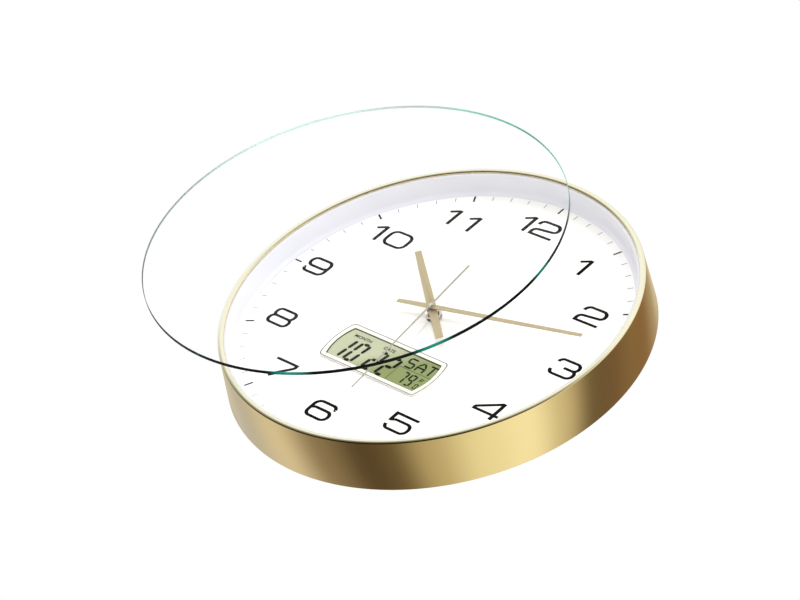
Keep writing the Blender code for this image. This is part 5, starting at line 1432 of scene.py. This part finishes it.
class WALLCLOCK_OT_stage(bpy.types.Operator):
    """Sets up floor, soft light and the camera at the photograph's angle"""

    bl_idname = "wallclock.stage"
    bl_label = "Stage"

    def execute(self, context):
        settings = context.scene.clock_stage
        clear()
        bpy.ops.mesh.primitive_plane_add(size=12, location=(0, 0, settings.floor_height))
        floor = named("studio_floor")
        material, tree, place = blank_material("painted_studio_floor")
        roller = add(tree, "ShaderNodeTexNoise", {"Vector": place, "Scale": per(8), "Detail": 2.0})
        bump = add(tree, "ShaderNodeBump", {"Height": roller, "Distance": 0.05 * MM, "Strength": 0.3})
        inputs = {"Base Color": paint("#F4F4F4"), "Roughness": 0.8, "Normal": bump}
        add(tree, "ShaderNodeOutputMaterial", {"Surface": add(tree, "ShaderNodeBsdfPrincipled", inputs)})
        floor.data.materials.append(material)
        floor.visible_glossy = False
        studio_world(settings.daylight)
        soft_lamp("front_lamp", (0.03, -1, 0.08), 1.6, settings.lamp_power, settings.lamp_size)
        for index, (x, z, share) in enumerate(((-1, -0.8, 0.4), (1, -0.8, 0.45), (1, 1, 1.85), (-1, 1, 1.15))):
            soft_lamp(f"fill_lamp_{index + 1}", (x, -1, z), 2.2, settings.fill_power * share, settings.fill_size)
        clear()
        bpy.ops.object.camera_add()
        camera = bpy.context.object
        camera.name = "photograph_camera"
        # The camera that was fitted to the photograph: its three directions and its place
        right = Vector((0.712326, 0.205234, 0.671171))
        down = Vector((0.297035, 0.778271, -0.553232))
        look = Vector((-0.635895, 0.593442, 0.493421))
        turn = Matrix((right, -down, -look)).transposed().to_4x4()
        camera.matrix_world = Matrix.Translation(Vector((1.12709, -1.10579, -1.00765))) @ turn
        camera.data.lens, camera.data.sensor_width = settings.focal_length, 36
        camera.data.sensor_fit = "HORIZONTAL"
        camera.data.clip_start, camera.data.clip_end = 0.01, 50
        context.scene.camera = camera
        context.scene.view_settings.view_transform = "Standard"
        return {"FINISHED"}


class WALLCLOCK_PT_panel(bpy.types.Panel):
    """Sidebar panel with the clock's sizes, colours and steps"""

    bl_label = "Wall Clock"
    bl_idname = "WALLCLOCK_PT_panel"
    bl_space_type = "VIEW_3D"
    bl_region_type = "UI"
    bl_category = "Wall Clock"

    def draw(self, context):
        for name, group in SETTINGS.items():
            box = self.layout.box()
            box.label(text=group.__doc__)
            for key in group.__annotations__:
                box.prop(getattr(context.scene, name), key)
        column = self.layout.column()
        for operator in OPERATORS:
            column.operator(operator.bl_idname)


SETTINGS = {
    "clock_case": ClockCaseSizes,
    "clock_dial": ClockDialSizes,
    "clock_calendar": ClockCalendarSizes,
    "clock_hands": ClockHandSizes,
    "clock_colours": ClockColours,
    "clock_stage": ClockStageSettings,
}

OPERATORS = (
    WALLCLOCK_OT_stage, WALLCLOCK_OT_rim, WALLCLOCK_OT_glass, WALLCLOCK_OT_ring, WALLCLOCK_OT_numerals,
    WALLCLOCK_OT_ticks, WALLCLOCK_OT_window, WALLCLOCK_OT_display, WALLCLOCK_OT_hands, WALLCLOCK_OT_hub,
    WALLCLOCK_OT_cover, WALLCLOCK_OT_screws, WALLCLOCK_OT_hanger, WALLCLOCK_OT_buttons, WALLCLOCK_OT_mouldings,
    WALLCLOCK_OT_battery, WALLCLOCK_OT_kept,
)


def register():
    for name, group in SETTINGS.items():
        bpy.utils.register_class(group)
        setattr(bpy.types.Scene, name, PointerProperty(type=group))
    for operator in OPERATORS:
        bpy.utils.register_class(operator)
    bpy.utils.register_class(WALLCLOCK_PT_panel)


def unregister():
    bpy.utils.unregister_class(WALLCLOCK_PT_panel)
    for operator in reversed(OPERATORS):
        bpy.utils.unregister_class(operator)
    for name, group in SETTINGS.items():
        delattr(bpy.types.Scene, name)
        bpy.utils.unregister_class(group)


def main():
    register()
    for operator in OPERATORS:
        getattr(bpy.ops.wallclock, operator.bl_idname.split(".")[1])()
    bpy.context.view_layer.update()


if __name__ == "__main__":
    main()
